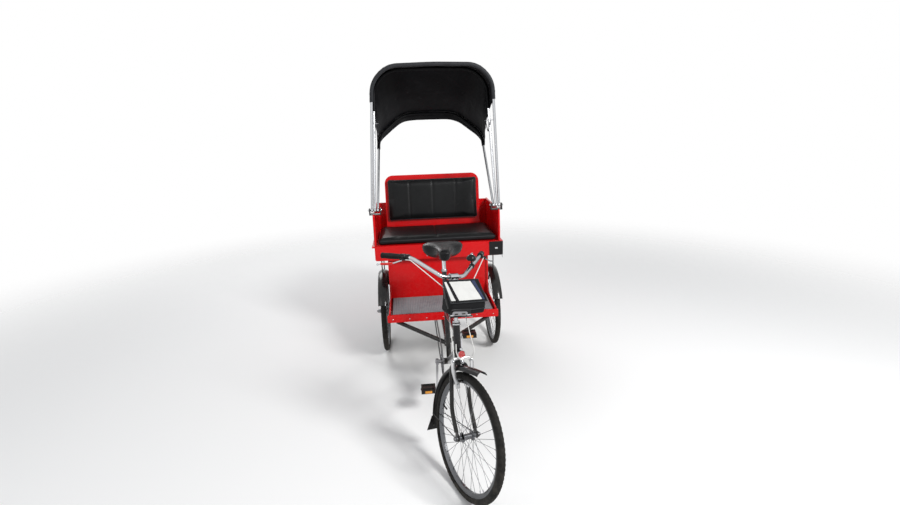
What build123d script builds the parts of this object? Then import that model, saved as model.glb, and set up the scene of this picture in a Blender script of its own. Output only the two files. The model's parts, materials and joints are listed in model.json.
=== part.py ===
"""A cycle rickshaw: a bicycle front end that steers, and a two-seat cabin with a folding hood behind it.

Millimetres. The vehicle faces -Y, +X is its left side and +Z is up. It is laid out with the rear
axle above y = 0, and write_parts() then moves it so that the origin is under the middle of its box.
"""
import os
from math import acos, atan2, cos, radians, sin, sqrt, tan

from build123d import *

# Driving dimensions

WHEELBASE = 1732
REAR_RADIUS = 330
REAR_TYRE = 42
FRONT_RADIUS = 320
FRONT_TYRE = 40
HEAD_ANGLE = 70
FORK_RAKE = 45
STEER_REST = 24
SIDES = {"right": -1, "left": 1}

# Wheels

RIM_DEPTH = 18
RIM_WALL = 1.6
RIM_LIP = 5
SPOKE = 2.4
SPOKE_COUNT = 36
SPOKE_CROSS = 62
SPOKE_SINK = 2
FRONT_HUB_WIDTH = 100
FRONT_AXLE = 9.5
REAR_HUB_WIDTH = 110
REAR_AXLE = 20
STUB = 16
AXLE_STUB = 14
RUN_FIT = 0.05

# Bicycle part

HEAD_LENGTH = 170
HEAD_TUBE = 38
STEERER = 28.6
CROWN_RISE = 372
BLADE = 22
FORK_SPREAD = 44
STEM_RISE = 253
QUILL = 22.2
BAR = 22.2
BAR_HALF = 314
BAR_SWEEP = 238
BAR_KNEE = (212, 98, 84)
GRIP = 32
GRIP_LENGTH = 120
BAG_HALF = 104
BAG_GAP = 86
BAG_DEPTH = 97
BRACKET_Y = -940
BRACKET_Z = 325
CRANK = 170
CRANK_TILT = 38
CRANK_OUT = 80
CHAIN_X = -46
RING_RADIUS = 79
SPROCKET_RADIUS = 44
TOOTH = 3
PEDAL_WIDTH = 92
SADDLE_Y = -740
SADDLE_TOP = 1072
SADDLE_DEPTH = 74
SADDLE_HALF = 134
SADDLE_RAIL_DROP = 14
SEAT_TUBE = 32
SEAT_TUBE_TOP = 900
SEAT_POST = 27.2
MAIN_TUBE = 44
SPINE = 34
OUTRIGGER = 30
OUTRIGGER_Y = -760
OUTRIGGER_Z = 366

# Chassis and cabin

RAIL = 36
RAIL_TOP = 476
BODY_FRONT = -525
BODY_REAR = 440
FLOOR_BOARD = 12
FLOOR_HALF = 398
PANEL = 12
DECK_TOP = 935
SEAT_FRONT = -135
DECK_LIP = 50
DECK_OVER = 22
APRON = 105
BACK_FOOT = 316
BACK_LEAN = 0.15
FLOOR_RIM = 22
SIDE_RIM = 1175
BACK_HALF = 408
BACK_TOP = 1420
CUSHION = 62
BACK_CUSHION = 55
SOFT_GAP = 0.5
GUARD_GAP = 18
GUARD_SHEET = 1.5
GUARD_HALF = 38
FRONT_GUARD_GAP = 12
FRONT_GUARD_HALF = 29

# Hood: each bow is a hoop that turns on the side pivots

PIVOT_Y = -120
PIVOT_RISE = 35
BOW_TUBE = 19
BOW_CROWN = 8
CROWN_BEND = 3000
EYE = 30
EYE_LENGTH = 14
PIVOT_PIN = 12
SKIN = 2
SKIN_GAP = 2.6
BOWS = {
    # name: (angle back from upright, height of hoop, foot's step out from the side, lowest fabric)
    "front": (-7.5, 1041, 4, 797),
    "middle": (9.5, 1047, -18, 740),
    "rear": (38, 900, -40, 560),
}
CORNERS = {
    # name: (shoulder's drop, its inset, radius of its bends)
    "front": (112, 112, 180),
    "middle": (112, 112, 180),
    "rear": (230, 200, 200),
}
LINK_AT = 650
LINK_RATIO = 1.27
LINK_BAR = (14, 3)
LINK_INSET = {"front": 9, "middle": 15}
LINK_PIN = 6
ELBOW_GAP = 0.6

# Values that follow from those above

TILT = radians(90 - HEAD_ANGLE)
SIDE_OUT = FLOOR_HALF + 92
REAR_X = FLOOR_HALF + 52
RAIL_X = FLOOR_HALF - 48
FLOOR_TOP = RAIL_TOP + FLOOR_BOARD
BOW_HALF = SIDE_OUT - 64


def resting_axle_height():
    """Height of the front axle, steered straight, so that the turned wheel just touches the floor."""
    turn = radians(STEER_REST)
    lean = sin(TILT) * sin(turn)
    round_radius = FRONT_TYRE / 2
    lowest = (FRONT_RADIUS - round_radius) * sqrt(1 - lean**2) + round_radius
    return lowest + FORK_RAKE * sin(TILT) * (1 - cos(turn))


FRONT_AXLE_AT = Vector(0, -WHEELBASE, resting_axle_height())
UP_AXIS = Vector(0, sin(TILT), cos(TILT))
AHEAD = Vector(0, -cos(TILT), sin(TILT))
AXIS_FOOT = FRONT_AXLE_AT - AHEAD * FORK_RAKE
STEERING_AXIS = Axis(AXIS_FOOT, UP_AXIS)
CRANK_AT = Vector(0, BRACKET_Y, BRACKET_Z)
REAR_AXLE_AT = Vector(0, 0, REAR_RADIUS)
HEAD_BOTTOM = AXIS_FOOT + UP_AXIS * (CROWN_RISE + 16)
HEAD_TOP = HEAD_BOTTOM + UP_AXIS * HEAD_LENGTH
BAR_CENTRE = HEAD_TOP + UP_AXIS * STEM_RISE
PIVOT_Z = SIDE_RIM + PIVOT_RISE
PIVOT = Vector(0, PIVOT_Y, PIVOT_Z)


# Shapes that several pieces share


def rod(start, end, diameter, bore=0):
    """A round bar between two points, or a tube if it has a bore."""
    start, end = Vector(*start), Vector(*end)
    plane = Plane(origin=start, z_dir=end - start)
    ring = Circle(diameter / 2)
    if bore:
        ring -= Circle(bore / 2)
    return extrude(plane * ring, (end - start).length)


def cross_bar(centre, half, diameter, bore=0):
    """A round bar along X, centred on a point."""
    out = Vector(half, 0, 0)
    return rod(Vector(*centre) - out, Vector(*centre) + out, diameter, bore)


def bent_tube(points, diameter, radii):
    """A round tube along straight runs joined by arcs."""
    path = FilletPolyline(*points, radius=radii)
    section = Plane(origin=path @ 0, z_dir=path % 0) * Circle(diameter / 2)
    return sweep(section, path=path)


def block(low, high, rounding=0):
    """A box from its lowest to its highest corner, with its edges rounded."""
    size = [b - a for a, b in zip(low, high)]
    middle = [(a + b) / 2 for a, b in zip(low, high)]
    solid = Pos(*middle) * Box(*size)
    return fillet(solid.edges(), rounding) if rounding else solid


def side_plate(outline, x_low, x_high, corners=0):
    """A plate across X, from an outline of (y, z) points, with its outline's corners rounded."""
    face = make_face(Polyline(*outline, close=True))
    if corners:
        face = fillet(face.vertices(), corners)
    return extrude(Plane.YZ.offset(x_low) * face, x_high - x_low)


def front_plate(outline, y_low, y_high):
    """A plate across Y, from a face drawn in (x, z)."""
    return extrude(Plane.XZ.offset(-y_high) * outline, y_high - y_low)


def link_plate(start, end, radius_a, radius_b, x, thickness):
    """A flat plate across X with round ends, between two points of the side view."""
    face = belt((start.Y, start.Z), radius_a, (end.Y, end.Z), radius_b)
    return Pos(x - thickness / 2, 0, 0) * extrude(Plane.YZ * face, thickness)


def about_axle(profile, centre, start=0, sweep_angle=360):
    """A profile of (x, radius) turned about an axle along X; angles go from ahead (-Y) over the top."""
    solid = revolve(profile, axis=Axis.X, revolution_arc=sweep_angle)
    # The profile starts at +Y, and a turn of 180 degrees puts it at -Y.
    return Pos(*centre) * Rot(X=180 - start - sweep_angle) * solid


def belt(centre_a, radius_a, centre_b, radius_b):
    """The closed face round two circles and their outer tangents, in (y, z)."""
    dy, dz = centre_b[0] - centre_a[0], centre_b[1] - centre_a[1]
    heading = atan2(dz, dy)
    spread = acos((radius_a - radius_b) / sqrt(dy**2 + dz**2))

    def on(centre, radius, angle):
        return (centre[0] + radius * cos(angle), centre[1] + radius * sin(angle))

    a_top, b_top = (on(*c, heading + spread) for c in ((centre_a, radius_a), (centre_b, radius_b)))
    a_low, b_low = (on(*c, heading - spread) for c in ((centre_a, radius_a), (centre_b, radius_b)))
    far_a = on(centre_a, radius_a, heading + radians(180))
    far_b = on(centre_b, radius_b, heading)
    edges = [
        Line(a_top, b_top),
        ThreePointArc(b_top, far_b, b_low),
        Line(b_low, a_low),
        ThreePointArc(a_low, far_a, a_top),
    ]
    return make_face(edges)


def on_steerer(x, rise, ahead):
    """A point of the front end, drawn straight ahead, by its rise along the steering axis."""
    return AXIS_FOOT + UP_AXIS * rise + AHEAD * ahead + Vector(x, 0, 0)


def steered(shape):
    """Turns a piece of the front end, drawn straight ahead, to the angle at which it stands."""
    return shape.rotate(STEERING_AXIS, STEER_REST)


# Wheels


def tyre(radius, width, centre):
    half = width / 2
    seat = radius - 2 * half + 4
    section = Pos(0, radius - half) * Circle(half)
    section -= Pos(0, seat - half) * Rectangle(4 * half, width)
    for side in SIDES.values():
        section -= Pos(side * (half * 0.6 + half), seat + RIM_LIP / 2) * Rectangle(2 * half, RIM_LIP + 0.2)
    return about_axle(section, centre)


def rim_section(radius, width):
    """A box rim with a lip each side of the tyre's bead."""
    seat = radius - width + 4
    half = 0.3 * width
    outer = half + RIM_WALL
    points = [
        (-outer, seat + RIM_LIP),
        (-half, seat + RIM_LIP),
        (-half, seat),
        (half, seat),
        (half, seat + RIM_LIP),
        (outer, seat + RIM_LIP),
        (outer, seat - RIM_DEPTH / 3),
        (half / 2, seat - RIM_DEPTH),
        (-half / 2, seat - RIM_DEPTH),
        (-outer, seat - RIM_DEPTH / 3),
    ]
    return make_face(Polyline(*points, close=True))


def hub(width, flange_x, flange_radius, barrel, axle, end_radius):
    """A hub shell, its two spoke flanges and its end caps, bored for the axle."""
    bore = axle / 2 + RUN_FIT
    half = width / 2
    points = [
        (-half, bore),
        (-half, end_radius),
        (-flange_x - 6, end_radius),
        (-flange_x - 2, flange_radius),
        (-flange_x + 2, flange_radius),
        (-flange_x + 8, barrel),
        (flange_x - 8, barrel),
        (flange_x - 2, flange_radius),
        (flange_x + 2, flange_radius),
        (flange_x + 6, end_radius),
        (half, end_radius),
        (half, bore),
    ]
    return revolve(make_face(Polyline(*points, close=True)), axis=Axis.X)


def spoked_wheel(radius, tyre_width, hub_width, axle, flange_radius, barrel):
    """Rim, spokes and hub about the X axis: half of the spokes lead and half trail, on each flange."""
    flange_x = hub_width / 2 - 20
    inner = radius - tyre_width + 4 - RIM_DEPTH + SPOKE_SINK
    root = flange_radius - SPOKE_SINK - 2
    spokes = []
    for index in range(SPOKE_COUNT):
        at_rim = radians(360 / SPOKE_COUNT * index)
        side = 1 if index % 2 else -1
        trails = 1 if (index // 2) % 2 else -1
        at_hub = at_rim + trails * radians(SPOKE_CROSS)
        lift = SPOKE * 0.8 * trails
        start = (side * (flange_x + lift * 0.5), root * cos(at_hub), root * sin(at_hub))
        end = (side * (2.6 + lift), inner * cos(at_rim), inner * sin(at_rim))
        plane = Plane(origin=start, z_dir=Vector(*end) - Vector(*start))
        length = (Vector(*end) - Vector(*start)).length
        spokes.append(extrude(plane * RegularPolygon(SPOKE / 2, 4), length))
    rim = revolve(rim_section(radius, tyre_width), axis=Axis.X)
    shell = hub(hub_width, flange_x, flange_radius, barrel, axle, axle / 2 + 6)
    return (shell + rim).fuse(*spokes)


def front_wheel_parts():
    wheel = spoked_wheel(FRONT_RADIUS, FRONT_TYRE, FRONT_HUB_WIDTH - 2, FRONT_AXLE, 24, 14)
    return {
        "front_tyre": steered(tyre(FRONT_RADIUS, FRONT_TYRE, FRONT_AXLE_AT)),
        "front_wheel": steered(Pos(*FRONT_AXLE_AT) * wheel),
    }


def rear_wheel_parts():
    wheel = spoked_wheel(REAR_RADIUS, REAR_TYRE, REAR_HUB_WIDTH, REAR_AXLE, 38, 24)
    pieces = {}
    for name, side in SIDES.items():
        centre = Vector(side * REAR_X, 0, REAR_RADIUS)
        pieces[f"rear_tyre_{name}"] = tyre(REAR_RADIUS, REAR_TYRE, centre)
        pieces[f"rear_wheel_{name}"] = Pos(*centre) * wheel
    return pieces


# Bicycle part


def toothed_disc(radius, teeth, thickness, x, centre, window=0):
    """A chain ring or sprocket: a disc whose teeth fit inside the chain."""
    disc = Circle(radius - 4)
    for index in range(teeth):
        disc += Rot(Z=360 / teeth * index) * Pos(radius - 3, 0) * Rectangle(2 * TOOTH + 6, radius * 3 / teeth)
    if window:
        for index in range(5):
            disc -= Rot(Z=72 * index) * Pos(radius * 0.58, 0) * Circle(window)
    return Pos(x - thickness / 2, centre.Y, centre.Z) * extrude(Plane.YZ * disc, thickness)


def drive_parts():
    """Cranks with their ring, the two pedals, the driven axle and the chain."""
    tilt = radians(CRANK_TILT)
    reach = Vector(0, sin(tilt), cos(tilt)) * CRANK
    cranks = cross_bar(CRANK_AT, CRANK_OUT + 8, 24)
    cranks += toothed_disc(RING_RADIUS, 40, 4, CHAIN_X, CRANK_AT, window=16)
    pedals = {}
    for name, side in SIDES.items():
        hub_end = CRANK_AT + Vector(side * CRANK_OUT, 0, 0)
        pedal_eye = CRANK_AT + Vector(side * (CRANK_OUT + 12), 0, 0) + reach * side
        arm = loft(
            [
                Plane(origin=hub_end, z_dir=pedal_eye - hub_end, x_dir=(1, 0, 0)) * Rectangle(14, 34),
                Plane(origin=pedal_eye, z_dir=pedal_eye - hub_end, x_dir=(1, 0, 0)) * Rectangle(12, 24),
            ]
        )
        cranks += arm + cross_bar(hub_end, 9, 40) + cross_bar(pedal_eye, 8, 26)
        pin_start = pedal_eye + Vector(side * 8, 0, 0)
        pin_end = pin_start + Vector(side * (PEDAL_WIDTH + 6), 0, 0)
        cranks += rod(pin_start, pin_end, 12)
        middle = pin_start + Vector(side * (PEDAL_WIDTH / 2 + 3), 0, 0)
        body = Pos(*middle) * Box(PEDAL_WIDTH, 84, 24)
        for window in (-1, 1):
            body -= Pos(*middle) * Pos(0, window * 25, 0) * Box(PEDAL_WIDTH - 22, 24, 30)
        body -= Pos(*middle) * Rot(Y=90) * Cylinder(6 + RUN_FIT, PEDAL_WIDTH + 2)
        pedals[f"pedal_{name}"] = body
    half = REAR_X + REAR_HUB_WIDTH / 2 + 5
    axle = cross_bar(REAR_AXLE_AT, half, REAR_AXLE)
    axle += cross_bar(REAR_AXLE_AT, half + AXLE_STUB, STUB)
    axle += toothed_disc(SPROCKET_RADIUS, 22, 4, CHAIN_X, REAR_AXLE_AT)
    axle += cross_bar(REAR_AXLE_AT + Vector(CHAIN_X + 8, 0, 0), 12, 36)
    ring, cog = (BRACKET_Y, BRACKET_Z), (0, REAR_RADIUS)
    inner, outer = TOOTH + 0.8, TOOTH + 9
    loop = belt(ring, RING_RADIUS + outer, cog, SPROCKET_RADIUS + outer)
    loop -= belt(ring, RING_RADIUS + inner, cog, SPROCKET_RADIUS + inner)
    chain = Pos(CHAIN_X - 4, 0, 0) * extrude(Plane.YZ * loop, 8)
    return {"crankset": cranks, "rear_axle": axle, "chain": chain} | pedals


def bicycle_frame():
    """Head tube, main tubes and the diagonals that carry the cabin's rails."""
    head = rod(HEAD_BOTTOM, HEAD_TOP, HEAD_TUBE)
    bore = rod(HEAD_BOTTOM - UP_AXIS, HEAD_TOP + UP_AXIS, STEERER + 2 * RUN_FIT)
    seat_lean = Vector(0, 0.33, 1).normalized()
    seat_top = CRANK_AT + seat_lean * ((SEAT_TUBE_TOP - BRACKET_Z) / seat_lean.Z)
    seat_low = CRANK_AT + seat_lean * 20
    seat_tube = rod(seat_low, seat_top, SEAT_TUBE)
    post_hole = rod(seat_top - seat_lean * 150, seat_top + seat_lean, SEAT_POST)
    rail_low = RAIL_TOP - RAIL
    spine_z = rail_low - SPINE / 2
    spine_start = CRANK_AT + seat_lean * ((spine_z - BRACKET_Z) / seat_lean.Z)
    frame = head + seat_tube + cross_bar(CRANK_AT, 34, 42)
    frame += rod(HEAD_BOTTOM + UP_AXIS * 34, CRANK_AT, MAIN_TUBE)
    frame += rod(HEAD_TOP - UP_AXIS * 30, seat_low + seat_lean * 300, 32)
    frame += rod(spine_start, (0, BODY_FRONT + 2 * RAIL, spine_z), SPINE)
    frame += rod((0, OUTRIGGER_Y, OUTRIGGER_Z - OUTRIGGER / 2), (0, OUTRIGGER_Y, spine_z), SPINE)
    for side in SIDES.values():
        root = (0, OUTRIGGER_Y, OUTRIGGER_Z)
        frame += rod(root, (side * (RAIL_X - 10), BODY_FRONT + 50, rail_low - OUTRIGGER / 2), OUTRIGGER)
    frame -= bore
    frame -= post_hole
    frame -= cross_bar(CRANK_AT, 60, 24 + 2 * RUN_FIT)
    rise = SADDLE_TOP - SADDLE_DEPTH - SADDLE_RAIL_DROP - 4 - SEAT_TUBE_TOP
    post_top = seat_top + seat_lean * (rise / seat_lean.Z)
    post = rod(seat_top - seat_lean * 148, post_top, SEAT_POST)
    return {"main_frame": frame, "seat_post": post + cross_bar(post_top, 24, 30)}, post_top


def saddle(post_top):
    """A wide saddle: a broad tail, a narrow nose and a rail pair down to the post's head."""
    tail, nose = SADDLE_Y + 135, SADDLE_Y - 140
    wide = SADDLE_HALF
    half = [(22, nose), (30, nose + 8), (50, SADDLE_Y - 20), (wide, SADDLE_Y + 56),
            (wide - 6, tail - 24), (wide - 46, tail)]
    plan = half + [(-x, y) for x, y in reversed(half)]
    low = SADDLE_TOP - SADDLE_DEPTH
    shell = extrude(Plane.XY.offset(low) * make_face(Polyline(*plan, close=True)), SADDLE_DEPTH)
    shell = fillet(shell.edges().group_by(Axis.Z)[-1], 14)
    for side in SIDES.values():
        shell += rod((side * 16, nose + 60, low - 14), (side * 16, tail - 60, low - 14), 8)
        shell += rod((side * 16, nose + 62, low - 16), (side * 16, nose + 62, low + 4), 8)
        shell += rod((side * 16, tail - 62, low - 16), (side * 16, tail - 62, low + 4), 8)
    return shell - rod(post_top - Vector(25, 0, 0), post_top + Vector(25, 0, 0), 31)


def fork_parts():
    crown = AXIS_FOOT + UP_AXIS * CROWN_RISE
    fork = rod(crown, HEAD_TOP + UP_AXIS * 14, STEERER)
    fork += rod(HEAD_BOTTOM - UP_AXIS * 8, HEAD_BOTTOM - UP_AXIS * 0.5, HEAD_TUBE + 6)
    fork += rod(HEAD_TOP + UP_AXIS * 0.5, HEAD_TOP + UP_AXIS * 14, HEAD_TUBE + 4)
    fork += rod(crown - UP_AXIS * 16, HEAD_BOTTOM - UP_AXIS * 4, HEAD_TUBE)
    tip_x = FRONT_HUB_WIDTH / 2 + 3
    for side in SIDES.values():
        top = on_steerer(side * 10, CROWN_RISE - 2, 0)
        corner = on_steerer(side * FORK_SPREAD, CROWN_RISE - 26, 0)
        knee = on_steerer(side * (tip_x + 2), 130, 0)
        tip = FRONT_AXLE_AT + Vector(side * (tip_x + 2), 0, 0)
        end = tip + (knee - tip).normalized() * 30
        fork += bent_tube([top, corner, knee, end], BLADE, [24, 200])
        fork += link_plate(tip, end, 17, 9, side * (tip_x + 1), 7)
    axle = cross_bar(FRONT_AXLE_AT, tip_x + 22, FRONT_AXLE)
    fork -= cross_bar(FRONT_AXLE_AT, tip_x + 40, FRONT_AXLE)
    for side in SIDES.values():
        nut = FRONT_AXLE_AT + Vector(side * (tip_x + 9), 0, 0)
        axle += cross_bar(nut, 4, 19)
    return {"fork": steered(fork), "front_axle": steered(axle)}


def bar_route():
    """The handlebar's corners, from its left end to its right end."""
    left = [(BAR_HALF, BAR_SWEEP, 60), BAR_KNEE, (62, 0, 0)]
    right = [(-x, y, z) for x, y, z in reversed(left)]
    return [BAR_CENTRE + Vector(*point) for point in left + right]


def handlebar_parts():
    quill = rod(HEAD_TOP + UP_AXIS * 14, BAR_CENTRE, QUILL)
    clamp = cross_bar(BAR_CENTRE, 22, 36)
    collar = cross_bar(BAR_CENTRE, 40, BAR)
    stem = quill + rod(BAR_CENTRE - UP_AXIS * 30, BAR_CENTRE, 30) + clamp - collar
    route = bar_route()
    bar = bent_tube(route, BAR, [70, 60, 60, 70])
    grips = []
    for end, before in ((route[0], route[1]), (route[-1], route[-2])):
        along = (before - end).normalized()
        grips.append(rod(end - along * 4, end + along * GRIP_LENGTH, GRIP) - rod(end, end + along * 150, BAR))
    return {"stem": steered(stem), "handlebar": steered(bar), "grips": steered(Compound(grips))}


def control_parts():
    """A brake lever inside each grip, the bell on the left, and the two cables down to the brake."""
    route = bar_route()
    controls, cables = [], []
    for side, end, before in ((1, route[0], route[1]), (-1, route[-1], route[-2])):
        along = (before - end).normalized()
        clamp = end + along * (GRIP_LENGTH + 14)
        outward = along.cross(Vector(0, 0, -side)).normalized() * 0.9 - Vector(0, 0, 0.43)
        perch = rod(clamp - along * 8, clamp + along * 8, BAR + 9) - rod(clamp - along * 9, clamp + along * 9, BAR)
        perch += rod(clamp + outward * (BAR / 2 + 2), clamp + outward * 34, 13)
        blade = [clamp + outward * 30, clamp + outward * 50 - along * 34, clamp + outward * 52 - along * 108]
        perch += bent_tube(blade, 9, [40])
        controls.append(perch)
        start = clamp + outward * 24 + along * 7.2
        wire = [
            start,
            start + along * 46,
            on_steerer(side * 66, 742, 44),
            on_steerer(side * 48, 600, 20),
            on_steerer(side * 58, 470, 52),
            on_steerer(side * 62, 420, 66),
            on_steerer(side * 47, CROWN_RISE - 2, 34),
        ]
        cables.append(bent_tube(wire, 5, [20, 30, 40, 30, 22]))
    inner, knee = Vector(62, 0, 0), Vector(*BAR_KNEE)
    root = BAR_CENTRE + (inner + knee) * 0.5
    run = (knee - inner).normalized()
    rise = (Vector(0, 0, 1) - run * run.Z).normalized()
    bell = root + rise * 40
    dome = Pos(*bell) * Sphere(27) - Pos(*(bell - Vector(0, 0, 30))) * Box(80, 80, 60)
    clip = rod(root - run * 7, root + run * 7, BAR + 8) - rod(root - run * 8, root + run * 8, BAR)
    controls.append(dome + clip + rod(root + rise * (BAR / 2 + 2), bell + Vector(0, 0, 6), 10))
    return {"bar_controls": steered(Compound(controls)), "brake_cables": steered(Compound(cables))}


def bag_parts():
    """The handlebar bag and the slotted plate under it, which is clamped round the stem's quill."""
    rear = BAR_CENTRE.Y - BAG_GAP
    front = rear - BAG_DEPTH
    base = BAR_CENTRE.Z - 141
    side = [(front, base), (rear, base - 6), (rear, base + 145), (front, base + 65)]
    bag = side_plate(side, -BAG_HALF, BAG_HALF)
    bag = fillet(bag.edges(), 9)
    plate_z = base - 11
    level = AXIS_FOOT + UP_AXIS * ((plate_z - AXIS_FOOT.Z) / cos(TILT))
    plate = block((-34, front + 2, plate_z - 4), (34, level.Y, plate_z))
    for slot in range(4):
        plate -= block((-24, front + 14 + 22 * slot, plate_z - 9), (24, front + 22 + 22 * slot, plate_z + 9))
    plate += rod(level - UP_AXIS * 14, level + UP_AXIS * 14, QUILL + 14)
    plate -= rod(level - UP_AXIS * 60, level + UP_AXIS * 60, QUILL)
    plate += block((-20, front + 30, plate_z), (20, rear - 24, plate_z + 6))
    return {"handlebar_bag": steered(bag), "bag_bracket": steered(plate)}


def guard_section(radius, half, sheet, depth):
    """A mudguard's arched section, as (x, radius)."""
    outer = ThreePointArc((-half, radius), (0, radius + depth), (half, radius))
    inner = ThreePointArc((half - sheet, radius), (0, radius + depth - sheet), (-half + sheet, radius))
    return make_face([outer, Line(outer @ 1, inner @ 0), inner, Line(inner @ 1, outer @ 0)])


def front_guard_parts():
    """The front mudguard with its raised tip, flap and stays, the rim brake and the reflector above it."""
    rim = FRONT_RADIUS + FRONT_GUARD_GAP
    ridge = rim + 22
    half = FRONT_GUARD_HALF
    guard = about_axle(guard_section(rim, half, GUARD_SHEET, 22), FRONT_AXLE_AT, 112, 91)
    # The part ahead of the fork runs on nearly straight, on an arc of a far larger radius.
    push = 825
    joint = radians(112)
    far_centre = FRONT_AXLE_AT - Vector(0, -cos(joint), sin(joint)) * push
    guard += about_axle(guard_section(rim + push, half, GUARD_SHEET, 22), far_centre, 102.5, 9.5)
    flap_at = FRONT_AXLE_AT + Vector(0, -cos(radians(196)), sin(radians(196))) * (ridge - 1)
    flap = [(-half + 4, 14), (half - 4, 14), (half + 16, -74), (-half - 16, -74)]
    flap_face = Pos(0, flap_at.Z) * make_face(Polyline(*flap, close=True))
    guard += front_plate(flap_face, flap_at.Y, flap_at.Y + 3)
    turn = radians(190)
    for side in SIDES.values():
        hinge = FRONT_AXLE_AT + Vector(side * (FRONT_HUB_WIDTH / 2 + 10.3), 14, -5)
        edge = FRONT_AXLE_AT + Vector(side * (half - 0.5), -(rim + 1) * cos(turn), (rim + 1) * sin(turn))
        guard += rod(hinge, edge, 5)
    guard += rod(on_steerer(0, CROWN_RISE - 24, 0), on_steerer(0, CROWN_RISE - 16.3, 0), 20)
    arms = []
    pad_rise = FRONT_RADIUS - FRONT_TYRE - 6
    ahead = BLADE / 2 + 15
    for side in SIDES.values():
        route = [
            on_steerer(0, CROWN_RISE, ahead),
            on_steerer(side * 52, CROWN_RISE - 4, ahead),
            on_steerer(side * 46, CROWN_RISE - 52, ahead),
            on_steerer(side * 24, pad_rise, ahead),
        ]
        pad = on_steerer(side * 20, pad_rise, ahead - 6)
        outward = pad - FRONT_AXLE_AT - Vector(side * 20, 0, 0)
        shoe = Plane(origin=pad, x_dir=(1, 0, 0), z_dir=outward) * Box(9, 40, 9)
        arms.append(bent_tube(route, 9, [18, 30]) + shoe)
    bolt = rod(on_steerer(0, CROWN_RISE, HEAD_TUBE / 2 + 0.1), on_steerer(0, CROWN_RISE, ahead + 9), 12)
    brake = arms[0] + arms[1] + bolt
    lens = on_steerer(0, CROWN_RISE + 36, ahead + 4)
    reflector = rod(lens, lens + AHEAD * 9, 42)
    reflector += rod(on_steerer(0, CROWN_RISE + 6.2, ahead + 6), lens + AHEAD * 2, 5)
    return {
        "front_mudguard": steered(guard),
        "front_brake": steered(brake),
        "front_reflector": steered(reflector),
    }


# Chassis


def chassis():
    """Two rails under the floor and their cross members, with bearing hangers for the axle."""
    low = RAIL_TOP - RAIL
    frame = None
    for side in SIDES.values():
        rail = block(
            (side * RAIL_X - RAIL / 2, BODY_FRONT + 12, low),
            (side * RAIL_X + RAIL / 2, BODY_REAR - PANEL - 2, RAIL_TOP),
        )
        frame = rail if frame is None else frame + rail
    for y in (BODY_FRONT + 12, SEAT_FRONT - RAIL, 250, BODY_REAR - PANEL - 2 - RAIL):
        frame += block((-RAIL_X, y, low), (RAIL_X, y + RAIL, RAIL_TOP))
    blocks = []
    for side in SIDES.values():
        housing = [(-44, low), (44, low), (30, REAR_RADIUS - 8), (12, REAR_RADIUS - 32),
                   (-12, REAR_RADIUS - 32), (-30, REAR_RADIUS - 8)]
        plate = side_plate(housing, side * RAIL_X - 14, side * RAIL_X + 14)
        centre = Vector(side * RAIL_X, 0, REAR_RADIUS)
        blocks.append((plate + cross_bar(centre, 18, 46)) - cross_bar(centre, 30, REAR_AXLE + 2 * RUN_FIT))
    return {"chassis_frame": frame, "axle_blocks": Compound(blocks)}


# Cabin


def cabin_parts():
    floor = block((-FLOOR_HALF, BODY_FRONT + 12, RAIL_TOP), (FLOOR_HALF, BODY_REAR - PANEL, FLOOR_TOP))
    mat = block(
        (-FLOOR_HALF + 26, BODY_FRONT + 24, FLOOR_TOP), (FLOOR_HALF - 26, SEAT_FRONT - 14, FLOOR_TOP + 4)
    )
    lip_low = RAIL_TOP - RAIL + 1
    lip = RectangleRounded(2 * FLOOR_HALF + 24, FLOOR_TOP + 10 - lip_low, 10)
    fascia = front_plate(Pos(0, (FLOOR_TOP + 10 + lip_low) / 2) * lip, BODY_FRONT, BODY_FRONT + 12)
    deck_low = DECK_TOP - PANEL
    deck_half = SIDE_OUT + DECK_OVER
    front_board = block(
        (-FLOOR_HALF + PANEL, SEAT_FRONT, FLOOR_TOP), (FLOOR_HALF - PANEL, SEAT_FRONT + PANEL, deck_low)
    )
    deck = block((-deck_half, SEAT_FRONT - DECK_LIP, deck_low), (deck_half, BODY_REAR - PANEL, DECK_TOP))
    apron_face = Pos(0, deck_low - APRON / 2 + 4) * RectangleRounded(2 * SIDE_OUT + 4, APRON + 8, 14)
    apron_y = SEAT_FRONT - DECK_LIP
    apron = front_plate(apron_face, apron_y, apron_y + PANEL)
    rear = Pos(0, (DECK_TOP + SIDE_RIM) / 2) * Rectangle(2 * SIDE_OUT, SIDE_RIM - DECK_TOP)
    rear += Pos(0, (RAIL_TOP + DECK_TOP) / 2) * Rectangle(2 * FLOOR_HALF, DECK_TOP - RAIL_TOP)
    pieces = {
        "floor_pan": floor,
        "floor_mat": mat,
        "front_fascia": fascia,
        "seat_box": front_board + deck + apron,
        "rear_panel": front_plate(rear, BODY_REAR - PANEL, BODY_REAR),
    }
    for name, side in SIDES.items():
        lower = [
            (BODY_FRONT + 14, FLOOR_TOP), (BODY_FRONT + 14, FLOOR_TOP + FLOOR_RIM),
            (SEAT_FRONT - 70, FLOOR_TOP + FLOOR_RIM), (SEAT_FRONT - 14, FLOOR_TOP + 110),
            (SEAT_FRONT - 14, deck_low), (BODY_REAR - PANEL, deck_low), (BODY_REAR - PANEL, FLOOR_TOP),
        ]
        wall = [
            (SEAT_FRONT - 44, DECK_TOP), (SEAT_FRONT - 44, DECK_TOP + 112), (PIVOT_Y - 38, SIDE_RIM),
            (BODY_REAR - PANEL, SIDE_RIM), (BODY_REAR - PANEL, DECK_TOP),
        ]
        low_x = sorted((side * (FLOOR_HALF - PANEL), side * FLOOR_HALF))
        high_x = sorted((side * (SIDE_OUT - PANEL), side * SIDE_OUT))
        pieces[f"side_panel_{name}"] = side_plate(lower, *low_x)
        pieces[f"armrest_{name}"] = side_plate(wall, *high_x)
    return pieces


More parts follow.
